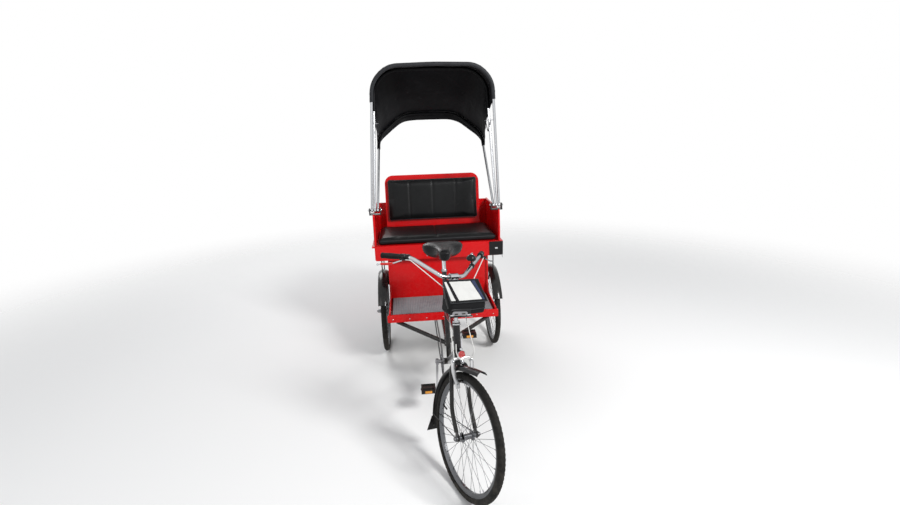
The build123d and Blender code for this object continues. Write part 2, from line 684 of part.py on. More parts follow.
def seat_parts():
    tall = BACK_TOP - DECK_TOP
    board_face = RectangleRounded(2 * BACK_HALF, tall, 70)
    board_face += Pos(0, -60) * Rectangle(2 * BACK_HALF, tall - 120)
    leaning = (0, -cos(BACK_LEAN), sin(BACK_LEAN))
    slope = Plane(origin=(0, BACK_FOOT, DECK_TOP), x_dir=(1, 0, 0), z_dir=leaning)
    board = slope * Pos(0, tall / 2) * extrude(board_face, -PANEL)
    board -= block((-SIDE_OUT, BACK_FOOT - 200, DECK_TOP - 200), (SIDE_OUT, BACK_FOOT + 200, DECK_TOP))
    pad_face = RectangleRounded(2 * BACK_HALF - 24, tall - CUSHION - 50, 60)
    pad = slope * Pos(0, (tall + CUSHION) / 2, SOFT_GAP) * extrude(pad_face, BACK_CUSHION)
    seat = block(
        (-SIDE_OUT + PANEL + 2, SEAT_FRONT - DECK_LIP + 4, DECK_TOP + SOFT_GAP),
        (SIDE_OUT - PANEL - 2, BACK_FOOT - 6, DECK_TOP + CUSHION), 22,
    )
    return {"backrest_board": board, "seat_cushion": seat, "back_cushion": fillet(pad.edges(), 12)}


def fender_parts():
    """A black guard over each rear wheel, hung from the deck by stays, and the blank plate on the left."""
    pieces = {}
    inner = REAR_RADIUS + GUARD_GAP
    deck_low = DECK_TOP - PANEL
    for name, side in SIDES.items():
        centre = Vector(side * REAR_X, 0, REAR_RADIUS)
        guard = about_axle(guard_section(inner - 12, GUARD_HALF, GUARD_SHEET, 14), centre, 28, 132)
        for y in (-90, 210):
            top = Vector(side * REAR_X, y, deck_low)
            drop = sqrt((inner + 1) ** 2 - y**2)
            guard += rod(top, Vector(side * REAR_X, y, REAR_RADIUS + drop), 9)
        pieces[f"fender_{name}"] = guard
    plate_y = SEAT_FRONT - DECK_LIP
    plate = block(
        (FLOOR_HALF + 6, plate_y - 4.5, deck_low - APRON + 2), (SIDE_OUT + DECK_OVER, plate_y - 0.5, deck_low + 8)
    )
    plate += block((SIDE_OUT - 40, plate_y - 1, deck_low - 60), (SIDE_OUT - 20, plate_y, deck_low - 40))
    pieces["marker_plate"] = plate
    return pieces


# Hood


def bow_plane(angle):
    """The plane of a bow: local x is across the cabin and local y is up the bow from the pivots."""
    back = radians(angle)
    return Plane(origin=PIVOT, x_dir=(1, 0, 0), z_dir=(0, -cos(back), sin(back)))


def shoulder(bow):
    """Height above the pivots at which a bow's leg ends and its corner starts."""
    return BOWS[bow][1] - CORNERS[bow][0]


def foot_x(bow):
    return SIDE_OUT + BOWS[bow][2]


def leg_x(bow, height):
    """How far out a bow's leg is at a height above the pivot."""
    return foot_x(bow) - (foot_x(bow) - BOW_HALF) * height / shoulder(bow)


def moved_out(points, grow):
    """The corners of a bent line, moved to its left so that every run moves by the same distance."""
    normals = []
    for (ax, ay), (bx, by) in zip(points, points[1:]):
        length = sqrt((bx - ax) ** 2 + (by - ay) ** 2)
        normals.append(((ay - by) / length, (bx - ax) / length))
    before = [normals[0]] + normals
    after = normals + [normals[-1]]
    moved = []
    for (x, y), (px, py), (nx, ny) in zip(points, before, after):
        share = grow / (1 + px * nx + py * ny)
        moved.append((x + (px + nx) * share, y + (py + ny) * share))
    return moved


def hoop_path(bow, start, grow=0):
    """An inverted U with a slight crown: its legs lean in from the feet, and it can be grown outwards."""
    top = BOWS[bow][1]
    drop, inset, bend = CORNERS[bow]
    half = [(leg_x(bow, start), start), (BOW_HALF, top - drop), (BOW_HALF - inset, top - BOW_CROWN)]
    points = [(-x, y) for x, y in half] + [(0, top)] + list(reversed(half))
    bends = [bend, bend, CROWN_BEND, bend, bend]
    return FilletPolyline(*moved_out(points, grow), radius=[radius + grow for radius in bends])


def fabric_band(bow):
    """The fabric's section round a hoop: a thin closed band outside the tube."""
    start = BOWS[bow][3]
    inside = hoop_path(bow, start, BOW_TUBE / 2 + SKIN_GAP)
    outside = hoop_path(bow, start, BOW_TUBE / 2 + SKIN_GAP + SKIN)
    ends = [Line(inside @ 0, outside @ 0), Line(inside @ 1, outside @ 1)]
    return make_face([*inside.edges(), *outside.edges(), *ends])


def hood_parts():
    pieces = {}
    for bow, (angle, *_) in BOWS.items():
        path = hoop_path(bow, 0)
        hoop = sweep(Plane(origin=path @ 0, z_dir=path % 0) * Circle(BOW_TUBE / 2), path=path)
        if bow in LINK_INSET:
            leg, link = leg_x(bow, LINK_AT), BOW_HALF - LINK_INSET[bow]
            for side in SIDES.values():
                hoop += Plane.XY * rod((side * leg, LINK_AT, 0), (side * (link - 4), LINK_AT, 0), LINK_PIN)
        hoop = bow_plane(angle) * hoop
        for side in SIDES.values():
            eye = PIVOT + Vector(side * foot_x(bow), 0, 0)
            hoop += cross_bar(eye, EYE_LENGTH / 2, EYE)
            hoop -= cross_bar(eye, EYE_LENGTH, PIVOT_PIN + 2 * RUN_FIT)
        pieces[f"hood_{bow}_bow"] = hoop
    brackets = []
    inner_x, outer_x = foot_x("rear") - 19, foot_x("front") + 19
    for side in SIDES.values():
        low_x, high_x = sorted((side * (inner_x - 4), side * (outer_x + 4)))
        bracket = block((low_x, PIVOT_Y - 28, SIDE_RIM), (high_x, PIVOT_Y + 28, SIDE_RIM + 5))
        cheek = [(PIVOT_Y - 28, SIDE_RIM), (PIVOT_Y + 28, SIDE_RIM), (PIVOT_Y + 14, PIVOT_Z + 14),
                 (PIVOT_Y - 14, PIVOT_Z + 14)]
        for x in (inner_x, outer_x):
            cheek_x = sorted((side * (x - 4), side * (x + 4)))
            bracket += side_plate(cheek, *cheek_x)
        middle = PIVOT + Vector(side * (inner_x + outer_x) / 2, 0, 0)
        brackets.append(bracket + cross_bar(middle, (outer_x - inner_x) / 2, PIVOT_PIN))
    pieces["hood_brackets"] = Compound(brackets)
    return pieces


def hood_skin_parts():
    """The fabric between neighbouring bows; behind the rear bow the hood is open."""
    pieces = {}
    for name, low, high in (("hood_roof_rear", "rear", "middle"), ("hood_roof_front", "middle", "front")):
        pieces[name] = loft([bow_plane(BOWS[bow][0]) * fabric_band(bow) for bow in (low, high)], ruled=True)
    return pieces


def hood_link_parts():
    """The folding links between the front and middle bows, one pair each side, with a loose elbow."""
    front, middle = BOWS["front"][0], BOWS["middle"][0]
    half_angle = radians(middle - front) / 2
    middle_line = radians(front + middle) / 2
    half_chord = LINK_AT * sin(half_angle)
    elbow_at = LINK_AT * cos(half_angle) - half_chord * sqrt(LINK_RATIO**2 - 1)
    elbow = PIVOT + Vector(0, sin(middle_line), cos(middle_line)) * elbow_at
    width, thickness = LINK_BAR
    pieces = {}
    for bow, inset in LINK_INSET.items():
        x = BOW_HALF - inset
        angle = radians(BOWS[bow][0])
        eye = PIVOT + Vector(0, sin(angle), cos(angle)) * LINK_AT
        bars = []
        for side in SIDES.values():
            bar = link_plate(eye, elbow, width / 2, width / 2, side * x, thickness)
            bar -= cross_bar(eye + Vector(side * x, 0, 0), 10, LINK_PIN + 2 * RUN_FIT)
            if bow == "front":
                inner = BOW_HALF - LINK_INSET["middle"] + thickness / 2 + ELBOW_GAP
                bar += rod(elbow + Vector(side * inner, 0, 0), elbow + Vector(side * x, 0, 0), 10)
            bars.append(bar)
        pieces[f"hood_{bow}_links"] = Compound(bars)
    print("links", PIVOT, elbow)
    return pieces


def write_parts():
    frame_pieces, post_top = bicycle_frame()
    pieces = {
        **front_wheel_parts(),
        **rear_wheel_parts(),
        **drive_parts(),
        **frame_pieces,
        "saddle": saddle(post_top),
        **fork_parts(),
        **handlebar_parts(),
        **control_parts(),
        **bag_parts(),
        **front_guard_parts(),
        **chassis(),
        **cabin_parts(),
        **seat_parts(),
        **fender_parts(),
        **hood_parts(),
        **hood_skin_parts(),
        **hood_link_parts(),
    }
    boxes = [piece.bounding_box() for piece in pieces.values()]
    middle = [
        (min(getattr(box.min, axis) for box in boxes) + max(getattr(box.max, axis) for box in boxes)) / 2
        for axis in "XY"
    ]
    shift = Vector(-middle[0], -middle[1], -min(box.min.Z for box in boxes))
    os.makedirs("parts", exist_ok=True)
    for name, piece in pieces.items():
        export_step(Pos(*shift) * piece, f"parts/{name}.step")
    print("shift", shift)
    for label, point in (("axis_foot", AXIS_FOOT), ("front_axle", FRONT_AXLE_AT), ("crank", CRANK_AT),
                         ("rear_axle", REAR_AXLE_AT), ("pivot", PIVOT)):
        print(label, point + shift)
    bar_ends = [steered(Vertex(*(BAR_CENTRE + Vector(*point)))).center() + shift
                for point in ((62, 0, 0), BAR_KNEE)]
    print("bar_run", *bar_ends)


write_parts()
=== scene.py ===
"""A cycle rickshaw with a red two-seat cabin and a black folding hood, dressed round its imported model."""

import json
from math import acos, atan2, cos, exp, pi, radians, sin, sqrt, tan

import bmesh
import bpy
from mathutils import Matrix, Vector, noise
from mathutils.bvhtree import BVHTree


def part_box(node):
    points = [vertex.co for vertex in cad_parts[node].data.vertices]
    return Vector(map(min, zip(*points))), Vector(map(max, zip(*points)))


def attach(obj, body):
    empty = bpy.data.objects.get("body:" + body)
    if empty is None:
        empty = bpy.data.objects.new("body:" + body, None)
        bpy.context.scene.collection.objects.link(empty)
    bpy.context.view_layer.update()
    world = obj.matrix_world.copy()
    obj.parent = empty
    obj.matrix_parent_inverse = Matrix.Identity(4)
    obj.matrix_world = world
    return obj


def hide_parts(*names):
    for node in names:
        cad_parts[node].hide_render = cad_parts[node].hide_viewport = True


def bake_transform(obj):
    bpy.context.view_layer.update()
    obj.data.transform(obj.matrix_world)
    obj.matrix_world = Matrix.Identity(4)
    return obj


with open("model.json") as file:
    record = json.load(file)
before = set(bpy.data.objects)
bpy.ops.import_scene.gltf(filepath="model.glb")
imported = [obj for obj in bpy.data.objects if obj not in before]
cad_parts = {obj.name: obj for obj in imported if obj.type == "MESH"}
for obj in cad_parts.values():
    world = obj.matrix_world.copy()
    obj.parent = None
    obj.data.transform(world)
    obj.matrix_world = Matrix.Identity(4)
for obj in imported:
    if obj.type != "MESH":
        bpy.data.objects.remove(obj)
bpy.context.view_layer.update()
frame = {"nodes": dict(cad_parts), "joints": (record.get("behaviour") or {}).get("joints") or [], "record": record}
NODES = frame["nodes"]
JOINTS = {joint["name"]: joint for joint in frame["joints"]}

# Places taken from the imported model, in metres

REAR_AXLE = Vector(JOINTS["left_wheel_spin"]["pos_m"])
FRONT_AXLE = Vector(JOINTS["front_wheel_spin"]["pos_m"])
FRONT_AXLE_LINE = Vector(JOINTS["front_wheel_spin"]["axis"]).normalized()
PIVOT = Vector(JOINTS["hood_fold"]["pos_m"])
HEAD_FOOT = Vector(JOINTS["steering_turn"]["pos_m"])
HEAD_UP = Vector(JOINTS["steering_turn"]["axis"]).normalized()
HEAD_AHEAD = Vector((0, -HEAD_UP.z, HEAD_UP.y))
CRANK = Vector(JOINTS["crank_spin"]["pos_m"])
STEER = radians(24)
STEERED = (
    Matrix.Translation(HEAD_FOOT) @ Matrix.Rotation(STEER, 4, HEAD_UP) @ Matrix.Translation(-HEAD_FOOT)
)
ACROSS = Vector((1, 0, 0))
UP = Vector((0, 0, 1))

# Sizes repeated from the part's source, in metres

CROWN_RISE = 0.372
HEAD_LENGTH = 0.170
STEM_RISE = 0.253
BAR_HALF = 0.314
BAR_SWEEP = 0.238
BAR_KNEE = Vector((0.212, 0.098, 0.084))
BAR_INNER = Vector((0.062, 0, 0))
BAR_RADIUS = 0.0111
GRIP_LENGTH = 0.120
RIM_WIDTHS = {"front": (0.320, 0.040), "rear": (0.330, 0.042)}
SPOKE_COUNT = 36
REAR_X = 0.450
SEAT_LEAN = Vector((0, 0.33, 1))
SEAT_TUBE_TOP = 0.900
SEAT_POST_TOP = 0.980
SADDLE_TOP = 1.072
CRANK_LENGTH = 0.170
PEDAL_X = 0.149
RAIL_X = 0.350
RAIL_TOP = 0.476
FLOOR_HALF = 0.398
SIDE_OUT = 0.490
BODY_FRONT = REAR_AXLE.y - 0.525
BODY_REAR = REAR_AXLE.y + 0.440
SEAT_FRONT = REAR_AXLE.y - 0.135
DECK_FRONT = SEAT_FRONT - 0.050
DECK_TOP = 0.935
PANEL = 0.012
SIDE_RIM = 1.175
BACK_FOOT = REAR_AXLE.y + 0.316
BACK_LEAN = 0.15
BACK_TOP = 1.420
BACK_HALF = 0.408
CUSHION = 0.062
BACK_CUSHION = 0.055
RING_RADIUS = 0.079
SPROCKET_RADIUS = 0.044
CHAIN_X = -0.046
CHAIN_PITCH = 0.0127
BOW_TUBE = 0.0095
BOW_HALF = 0.426
BOW_CROWN = 0.008
CROWN_BEND = 3.0
CLOTH = 0.0014
BOWS = {
    # name: (angle back from upright, height, foot's x, shoulder's drop, its inset, radius of its bends, hem)
    "front": (radians(-7.5), 1.041, 0.494, 0.112, 0.112, 0.180, 0.797),
    "middle": (radians(9.5), 1.047, 0.472, 0.112, 0.112, 0.180, 0.740),
    "rear": (radians(38), 0.900, 0.450, 0.230, 0.200, 0.200, 0.560),
}


def on_steerer(x, rise, ahead):
    """A point of the front end, drawn straight ahead, by its rise along the steering axis."""
    return HEAD_FOOT + HEAD_UP * rise + HEAD_AHEAD * ahead + Vector((x, 0, 0))


BAR_CENTRE = on_steerer(0, CROWN_RISE + 0.016 + HEAD_LENGTH + STEM_RISE, 0)
STRAIGHT_AXLE = STEERED.inverted() @ FRONT_AXLE


# Camera, light and floor


def make_camera():
    """The photograph's view: a short lens at a standing person's eyes, looking a little down."""
    data = bpy.data.cameras.new("camera")
    data.lens = 19.2
    data.sensor_width = 36
    data.clip_start = 0.05
    camera = bpy.data.objects.new("camera", data)
    bpy.context.collection.objects.link(camera)
    heading = Matrix.Rotation(radians(-4.9075), 4, "Z")
    tilt = Matrix.Rotation(radians(90 - 15.45), 4, "X")
    roll = Matrix.Rotation(radians(-1.7172), 4, "Z")
    camera.matrix_world = Matrix.Translation((-0.2198, REAR_AXLE.y - 3.8082, 1.8636)) @ heading @ tilt @ roll
    bpy.context.scene.camera = camera


def area_lamp(name, place, aim, size, power):
    data = bpy.data.lights.new(name, "AREA")
    data.size = size
    data.energy = power
    lamp = bpy.data.objects.new(name, data)
    bpy.context.collection.objects.link(lamp)
    lamp.location = place
    lamp.rotation_euler = (Vector(place) - Vector(aim)).to_track_quat("Z", "Y").to_euler()


def make_lights():
    area_lamp("key", (2.9, -3.4, 4.2), (0, 0.3, 0.9), 1.3, 300)
    area_lamp("fill", (-3.6, -2.6, 3.0), (0, 0.3, 0.9), 3.0, 36)
    area_lamp("back", (-1.5, 4.2, 3.6), (0, 0.6, 1.0), 2.4, 90)
    world = bpy.data.worlds.new("studio")
    bpy.context.scene.world = world
    world.use_nodes = True
    tree = world.node_tree
    sky = tree.nodes["Background"]
    sky.inputs["Color"].default_value = (0.93, 0.95, 1.0, 1)
    sky.inputs["Strength"].default_value = 0.4
    seen = tree.nodes.new("ShaderNodeBackground")
    seen.inputs["Color"].default_value = (1, 1, 1, 1)
    seen.inputs["Strength"].default_value = 1.0
    path = tree.nodes.new("ShaderNodeLightPath")
    direct = path.outputs["Is Camera Ray"]
    for ray in ("Is Glossy Ray", "Is Transmission Ray"):
        either = tree.nodes.new("ShaderNodeMath")
        either.operation = "MAXIMUM"
        tree.links.new(direct, either.inputs[0])
        tree.links.new(path.outputs[ray], either.inputs[1])
        direct = either.outputs[0]
    mix = tree.nodes.new("ShaderNodeMixShader")
    tree.links.new(direct, mix.inputs["Fac"])
    tree.links.new(sky.outputs["Background"], mix.inputs[1])
    tree.links.new(seen.outputs["Background"], mix.inputs[2])
    tree.links.new(mix.outputs["Shader"], tree.nodes["World Output"].inputs["Surface"])
    bpy.context.scene.view_settings.view_transform = "Standard"


def make_floor():
    """A pale floor that fades into the white background a few metres out."""
    mesh = bpy.data.meshes.new("floor")
    form = bmesh.new()
    bmesh.ops.create_grid(form, x_segments=1, y_segments=1, size=16)
    form.to_mesh(mesh)
    form.free()
    floor = bpy.data.objects.new("floor", mesh)
    bpy.context.collection.objects.link(floor)
    material = bpy.data.materials.new("pale_floor")
    material.use_nodes = True
    tree = material.node_tree
    shader = tree.nodes["Principled BSDF"]
    shader.inputs["Base Color"].default_value = (0.86, 0.86, 0.85, 1)
    shader.inputs["Roughness"].default_value = 0.9
    place = tree.nodes.new("ShaderNodeTexCoord")
    reach = tree.nodes.new("ShaderNodeVectorMath")
    reach.operation = "LENGTH"
    fade = tree.nodes.new("ShaderNodeMapRange")
    fade.interpolation_type = "SMOOTHSTEP"
    fade.inputs["From Min"].default_value = 2.6
    fade.inputs["From Max"].default_value = 6.5
    clear = tree.nodes.new("ShaderNodeBsdfTransparent")
    mix = tree.nodes.new("ShaderNodeMixShader")
    tree.links.new(place.outputs["Object"], reach.inputs[0])
    tree.links.new(reach.outputs["Value"], fade.inputs["Value"])
    tree.links.new(fade.outputs["Result"], mix.inputs["Fac"])
    tree.links.new(shader.outputs["BSDF"], mix.inputs[1])
    tree.links.new(clear.outputs["BSDF"], mix.inputs[2])
    tree.links.new(mix.outputs["Shader"], tree.nodes["Material Output"].inputs["Surface"])
    mesh.materials.append(material)


# Effects that several finishes share, each a group with named inputs and outputs


class Effect:
    """A shader node group under construction."""

    def __init__(self, name, inputs, outputs):
        self.tree = bpy.data.node_groups.new(name, "ShaderNodeTree")
        for label, kind, value in inputs:
            socket = self.tree.interface.new_socket(label, in_out="INPUT", socket_type="NodeSocket" + kind)
            socket.default_value = value
        for label, kind in outputs:
            self.tree.interface.new_socket(label, in_out="OUTPUT", socket_type="NodeSocket" + kind)
        self.given = self.tree.nodes.new("NodeGroupInput").outputs
        self.result = self.tree.nodes.new("NodeGroupOutput").inputs

    def add(self, kind, links=(), **settings):
        return add_node(self.tree, kind, links, **settings)

    def remap(self, value, low, high, start=0.0, end=1.0):
        """The value's run from low to high, laid onto a run from start to end."""
        made = self.add("MapRange", {"Value": value})
        for label, setting in (("From Min", low), ("From Max", high), ("To Min", start), ("To Max", end)):
            if isinstance(setting, bpy.types.NodeSocket):
                self.tree.links.new(setting, made.inputs[label])
            else:
                made.inputs[label].default_value = setting
        return made.outputs["Result"]

    def mixed(self, mask, under, over):
        """One colour laid over another through a mask."""
        made = self.add("Mix", {"Factor": mask, 6: under, 7: over}, data_type="RGBA")
        return made.outputs[2]

    def give(self, label, socket):
        self.tree.links.new(socket, self.result[label])


def add_node(tree, kind, links=(), **settings):
    """A node with its settings, its plain inputs by name, and its linked inputs."""
    made = tree.nodes.new("ShaderNode" + kind)
    for label, value in settings.items():
        if hasattr(made, label):
            setattr(made, label, value)
        else:
            made.inputs[label.replace("_", " ")].default_value = value
    for label, socket in dict(links).items():
        tree.links.new(socket, made.inputs[label])
    return made


def object_place(effect):
    return effect.add("TexCoord").outputs["Object"]


def make_mottle():
    """Slow, uneven patches of a darker shade."""
    effect = Effect(
        "mottle",
        [("Color", "Color", (0.5, 0.5, 0.5, 1)), ("Shade", "Float", 0.7), ("Scale", "Float", 9.0)],
        [("Color", "Color")],
    )
    patches = effect.add(
        "TexNoise", {"Vector": object_place(effect), "Scale": effect.given["Scale"]}, Detail=5.0,
        Roughness=0.62
    )
    share = effect.remap(patches.outputs["Fac"], 0.42, 0.68, 1.0, effect.given["Shade"])
    darker = effect.add("VectorMath", {0: effect.given["Color"], "Scale": share}, operation="SCALE")
    effect.give("Color", darker.outputs["Vector"])
    return effect.tree


def make_road_dust():
    """Pale dust that gathers low down and in patches, with a duller surface where it lies."""
    effect = Effect(
        "road_dust",
        [
            ("Color", "Color", (0.5, 0.5, 0.5, 1)),
            ("Dust", "Color", (0.30, 0.27, 0.22, 1)),
            ("Roughness", "Float", 0.4),
            ("Amount", "Float", 0.3),
            ("Height", "Float", 0.7),
        ],
        [("Color", "Color"), ("Roughness", "Float")],
    )
    place = object_place(effect)
    parts = effect.add("SeparateXYZ", {"Vector": place})
    low = effect.remap(parts.outputs["Z"], 0.0, effect.given["Height"], 1.0, 0.12)
    patches = effect.add("TexNoise", {"Vector": place}, Scale=26.0, Detail=6.0, Roughness=0.7)
    spread = effect.remap(patches.outputs["Fac"], 0.36, 0.72)
    lies = effect.add("Math", {0: low, 1: spread}, operation="MULTIPLY")
    mask = effect.add(
        "Math", {0: lies.outputs[0], 1: effect.given["Amount"]}, operation="MULTIPLY", use_clamp=True
    ).outputs[0]
    dull = effect.add("Math", {0: mask, 2: effect.given["Roughness"]}, operation="MULTIPLY_ADD")
    dull.inputs[1].default_value = 0.5
    dull.use_clamp = True
    effect.give("Color", effect.mixed(mask, effect.given["Color"], effect.given["Dust"]))
    effect.give("Roughness", dull.outputs[0])
    return effect.tree


def make_scuffs():
    """Thin, short rub marks that lie every way, lighter and rougher than the finish."""
    effect = Effect(
        "scuffs",
        [
            ("Color", "Color", (0.5, 0.5, 0.5, 1)),
            ("Bare", "Color", (0.6, 0.6, 0.6, 1)),
            ("Roughness", "Float", 0.3),
            ("Amount", "Float", 0.5),
            ("Scale", "Float", 30.0),
        ],
        [("Color", "Color"), ("Roughness", "Float")],
    )
    place = object_place(effect)
    bend = effect.add("TexNoise", {"Vector": place}, Scale=7.0, Detail=2.0)
    turned = effect.add("VectorMath", {0: bend.outputs["Color"], 1: place}, operation="ADD")
    stretch = effect.add("Mapping", {"Vector": turned.outputs["Vector"]})
    stretch.inputs["Scale"].default_value = (1.0, 0.12, 1.0)
    marks = effect.add(
        "TexNoise", {"Vector": stretch.outputs["Vector"], "Scale": effect.given["Scale"]},
        Detail=3.0, Roughness=0.8,
    )
    thin = effect.remap(marks.outputs["Fac"], 0.64, 0.74)
    mask = effect.add("Math", {0: thin, 1: effect.given["Amount"]}, operation="MULTIPLY").outputs[0]
    rough = effect.add("Math", {0: mask, 2: effect.given["Roughness"]}, operation="MULTIPLY_ADD")
    rough.inputs[1].default_value = 0.35
    effect.give("Color", effect.mixed(mask, effect.given["Color"], effect.given["Bare"]))
    effect.give("Roughness", rough.outputs[0])
    return effect.tree


def make_grain():
    """Small rounded cells with creases between them, as on leather and moulded vinyl."""
    effect = Effect("grain", [("Scale", "Float", 420.0)], [("Height", "Float")])
    place = object_place(effect)
    bend = effect.add("TexNoise", {"Vector": place}, Scale=60.0, Detail=2.0)
    warp = effect.add("VectorMath", {0: bend.outputs["Color"], 2: place}, operation="MULTIPLY_ADD")
    warp.inputs[1].default_value = (0.004, 0.004, 0.004)
    cells = effect.add(
        "TexVoronoi", {"Vector": warp.outputs["Vector"], "Scale": effect.given["Scale"]}, feature="F1"
    )
    effect.give("Height", effect.remap(cells.outputs["Distance"], 0.0, 0.75, 1.0, 0.0))
    return effect.tree


def make_weave():
    """Plain woven cloth: threads over and under each other, along the piece's own two directions; its colour
    carries painted shade in the hollows and painted highlight on the raised threads.
    """
    effect = Effect(
        "weave", [("Threads", "Float", 900.0), ("Color", "Color", (0.5, 0.5, 0.5, 1))],
        [("Height", "Float"), ("Color", "Color")],
    )
    parts = effect.add("SeparateXYZ", {"Vector": object_place(effect)})
    slant = effect.add("Math", {0: parts.outputs["Y"], 1: parts.outputs["Z"]}, operation="ADD")
    waves = []
    for socket in (parts.outputs["X"], slant.outputs[0]):
        turns = effect.add("Math", {0: socket, 1: effect.given["Threads"]}, operation="MULTIPLY")
        waves.append(effect.add("Math", {0: turns.outputs[0]}, operation="SINE").outputs[0])
    cross = effect.add("Math", {0: waves[0], 1: waves[1]}, operation="MULTIPLY").outputs[0]
    # Painted shade and highlight: the colour follows the weave's height, darker where threads dip and lighter
    # where they rise.
    painted_shading = effect.remap(cross, -1.0, 1.0, 0.72, 1.15)
    painted_thread_shading = effect.add("VectorMath", {0: effect.given["Color"], "Scale": painted_shading}, operation="SCALE")
    effect.give("Height", effect.remap(cross, -1.0, 1.0))
    effect.give("Color", painted_thread_shading.outputs["Vector"])
    return effect.tree


def make_creases():
    """Soft folds of coated cloth, with its fine grain."""
    effect = Effect("creases", [("Scale", "Float", 6.0)], [("Height", "Float")])
    place = object_place(effect)
    folds = effect.add(
        "TexNoise", {"Vector": place, "Scale": effect.given["Scale"]}, Detail=4.0, Roughness=0.55,
        Distortion=1.2
    )
    fine = effect.add("TexNoise", {"Vector": place}, Scale=220.0, Detail=2.0)
    both = effect.add("Math", {0: fine.outputs["Fac"], 2: folds.outputs["Fac"]}, operation="MULTIPLY_ADD")
    both.inputs[1].default_value = 0.07
    effect.give("Height", both.outputs[0])
    return effect.tree


def make_ribs():
    """Parallel raised ribs across the piece, for the floor mat."""
    effect = Effect("ribs", [("Ribs per metre", "Float", 110.0)], [("Height", "Float")])
    parts = effect.add("SeparateXYZ", {"Vector": object_place(effect)})
    turns = effect.add(
        "Math", {0: parts.outputs["X"], 1: effect.given["Ribs per metre"]}, operation="MULTIPLY"
    )
    whole = effect.add("Math", {0: turns.outputs[0]}, operation="MULTIPLY")
    whole.inputs[1].default_value = 2 * pi
    wave = effect.add("Math", {0: whole.outputs[0]}, operation="SINE")
    effect.give("Height", effect.remap(wave.outputs[0], -0.2, 0.5))
    return effect.tree


def make_brushed():
    """Fine drawn lines and cloudy patches in bare metal."""
    effect = Effect(
        "brushed", [("Roughness", "Float", 0.25), ("Spread", "Float", 0.2)], [("Roughness", "Float")]
    )
    place = object_place(effect)
    stretch = effect.add("Mapping", {"Vector": place})
    stretch.inputs["Scale"].default_value = (1.0, 1.0, 0.05)
    lines = effect.add("TexNoise", {"Vector": stretch.outputs["Vector"]}, Scale=700.0, Detail=2.0)
    clouds = effect.add("TexNoise", {"Vector": place}, Scale=22.0, Detail=4.0)
    both = effect.add("Math", {0: lines.outputs["Fac"], 1: clouds.outputs["Fac"]}, operation="MULTIPLY")
    rough = effect.add(
        "Math", {0: both.outputs[0], 1: effect.given["Spread"], 2: effect.given["Roughness"]},
        operation="MULTIPLY_ADD",
    )
    effect.give("Roughness", rough.outputs[0])
    return effect.tree


def make_pebbles():
    """Uneven fine bumps, as on cast parts, moulded plastic and orange-peel paint."""
    effect = Effect("pebbles", [("Scale", "Float", 300.0)], [("Height", "Float")])
    bumps = effect.add(
        "TexNoise", {"Vector": object_place(effect), "Scale": effect.given["Scale"]}, Detail=2.0,
        Roughness=0.5
    )
    effect.give("Height", bumps.outputs["Fac"])
    return effect.tree


EFFECTS = {
    "mottle": make_mottle(),
    "road_dust": make_road_dust(),
    "scuffs": make_scuffs(),
    "grain": make_grain(),
    "weave": make_weave(),
    "creases": make_creases(),
    "ribs": make_ribs(),
    "brushed": make_brushed(),
    "pebbles": make_pebbles(),
}


def finish(name, colour, rough, layers=(), bump=None, edge=1.0, **sockets):
    """A material whose colour and roughness pass through the named effects; edge paints shade onto its outline, a
    painted dark reflection that darkens the colour where the surface turns away from the view.
    """
    material = bpy.data.materials.new(name)
    material.use_nodes = True
    tree = material.node_tree
    shader = tree.nodes["Principled BSDF"]
    shader.inputs["Base Color"].default_value = (*colour, 1)
    shader.inputs["Roughness"].default_value = rough
    for label, value in sockets.items():
        shader.inputs[label.replace("_", " ")].default_value = value
    last = {}
    for effect, values in layers:
        made = tree.nodes.new("ShaderNodeGroup")
        made.node_tree = EFFECTS[effect]
        for label, value in values.items():
            made.inputs[label].default_value = (*value, 1) if isinstance(value, tuple) else value
        for label, start in (("Color", (*colour, 1)), ("Roughness", rough)):
            if label in made.inputs and label not in values:
                if label in last:
                    tree.links.new(last[label], made.inputs[label])
                else:
                    made.inputs[label].default_value = start
            if label in made.outputs:
                last[label] = made.outputs[label]
    # Painted reflection: the colour is scaled down towards the outline, where the surface turns from the view, as
    # if dark surroundings were mirrored there.
    if edge < 1.0:
        facing = add_node(tree, "LayerWeight", Blend=0.5)
        painted_shading = add_node(tree, "MapRange", {"Value": facing.outputs["Facing"]})
        painted_shading.inputs["To Min"].default_value = 1.0
        painted_shading.inputs["To Max"].default_value = edge
        darker = add_node(
            tree, "VectorMath", {0: last["Color"], "Scale": painted_shading.outputs["Result"]}, operation="SCALE"
        )
        last["Color"] = darker.outputs["Vector"]
    for label, target in (("Color", "Base Color"), ("Roughness", "Roughness")):
        if label in last:
            tree.links.new(last[label], shader.inputs[target])
    if bump:
        effect, values, distance, strength = bump
        made = tree.nodes.new("ShaderNodeGroup")
        made.node_tree = EFFECTS[effect]
        for label, value in values.items():
            made.inputs[label].default_value = value
        raised = tree.nodes.new("ShaderNodeBump")
        raised.inputs["Distance"].default_value = distance
        raised.inputs["Strength"].default_value = strength
        tree.links.new(made.outputs["Height"], raised.inputs["Height"])
        tree.links.new(raised.outputs["Normal"], shader.inputs["Normal"])
    return material


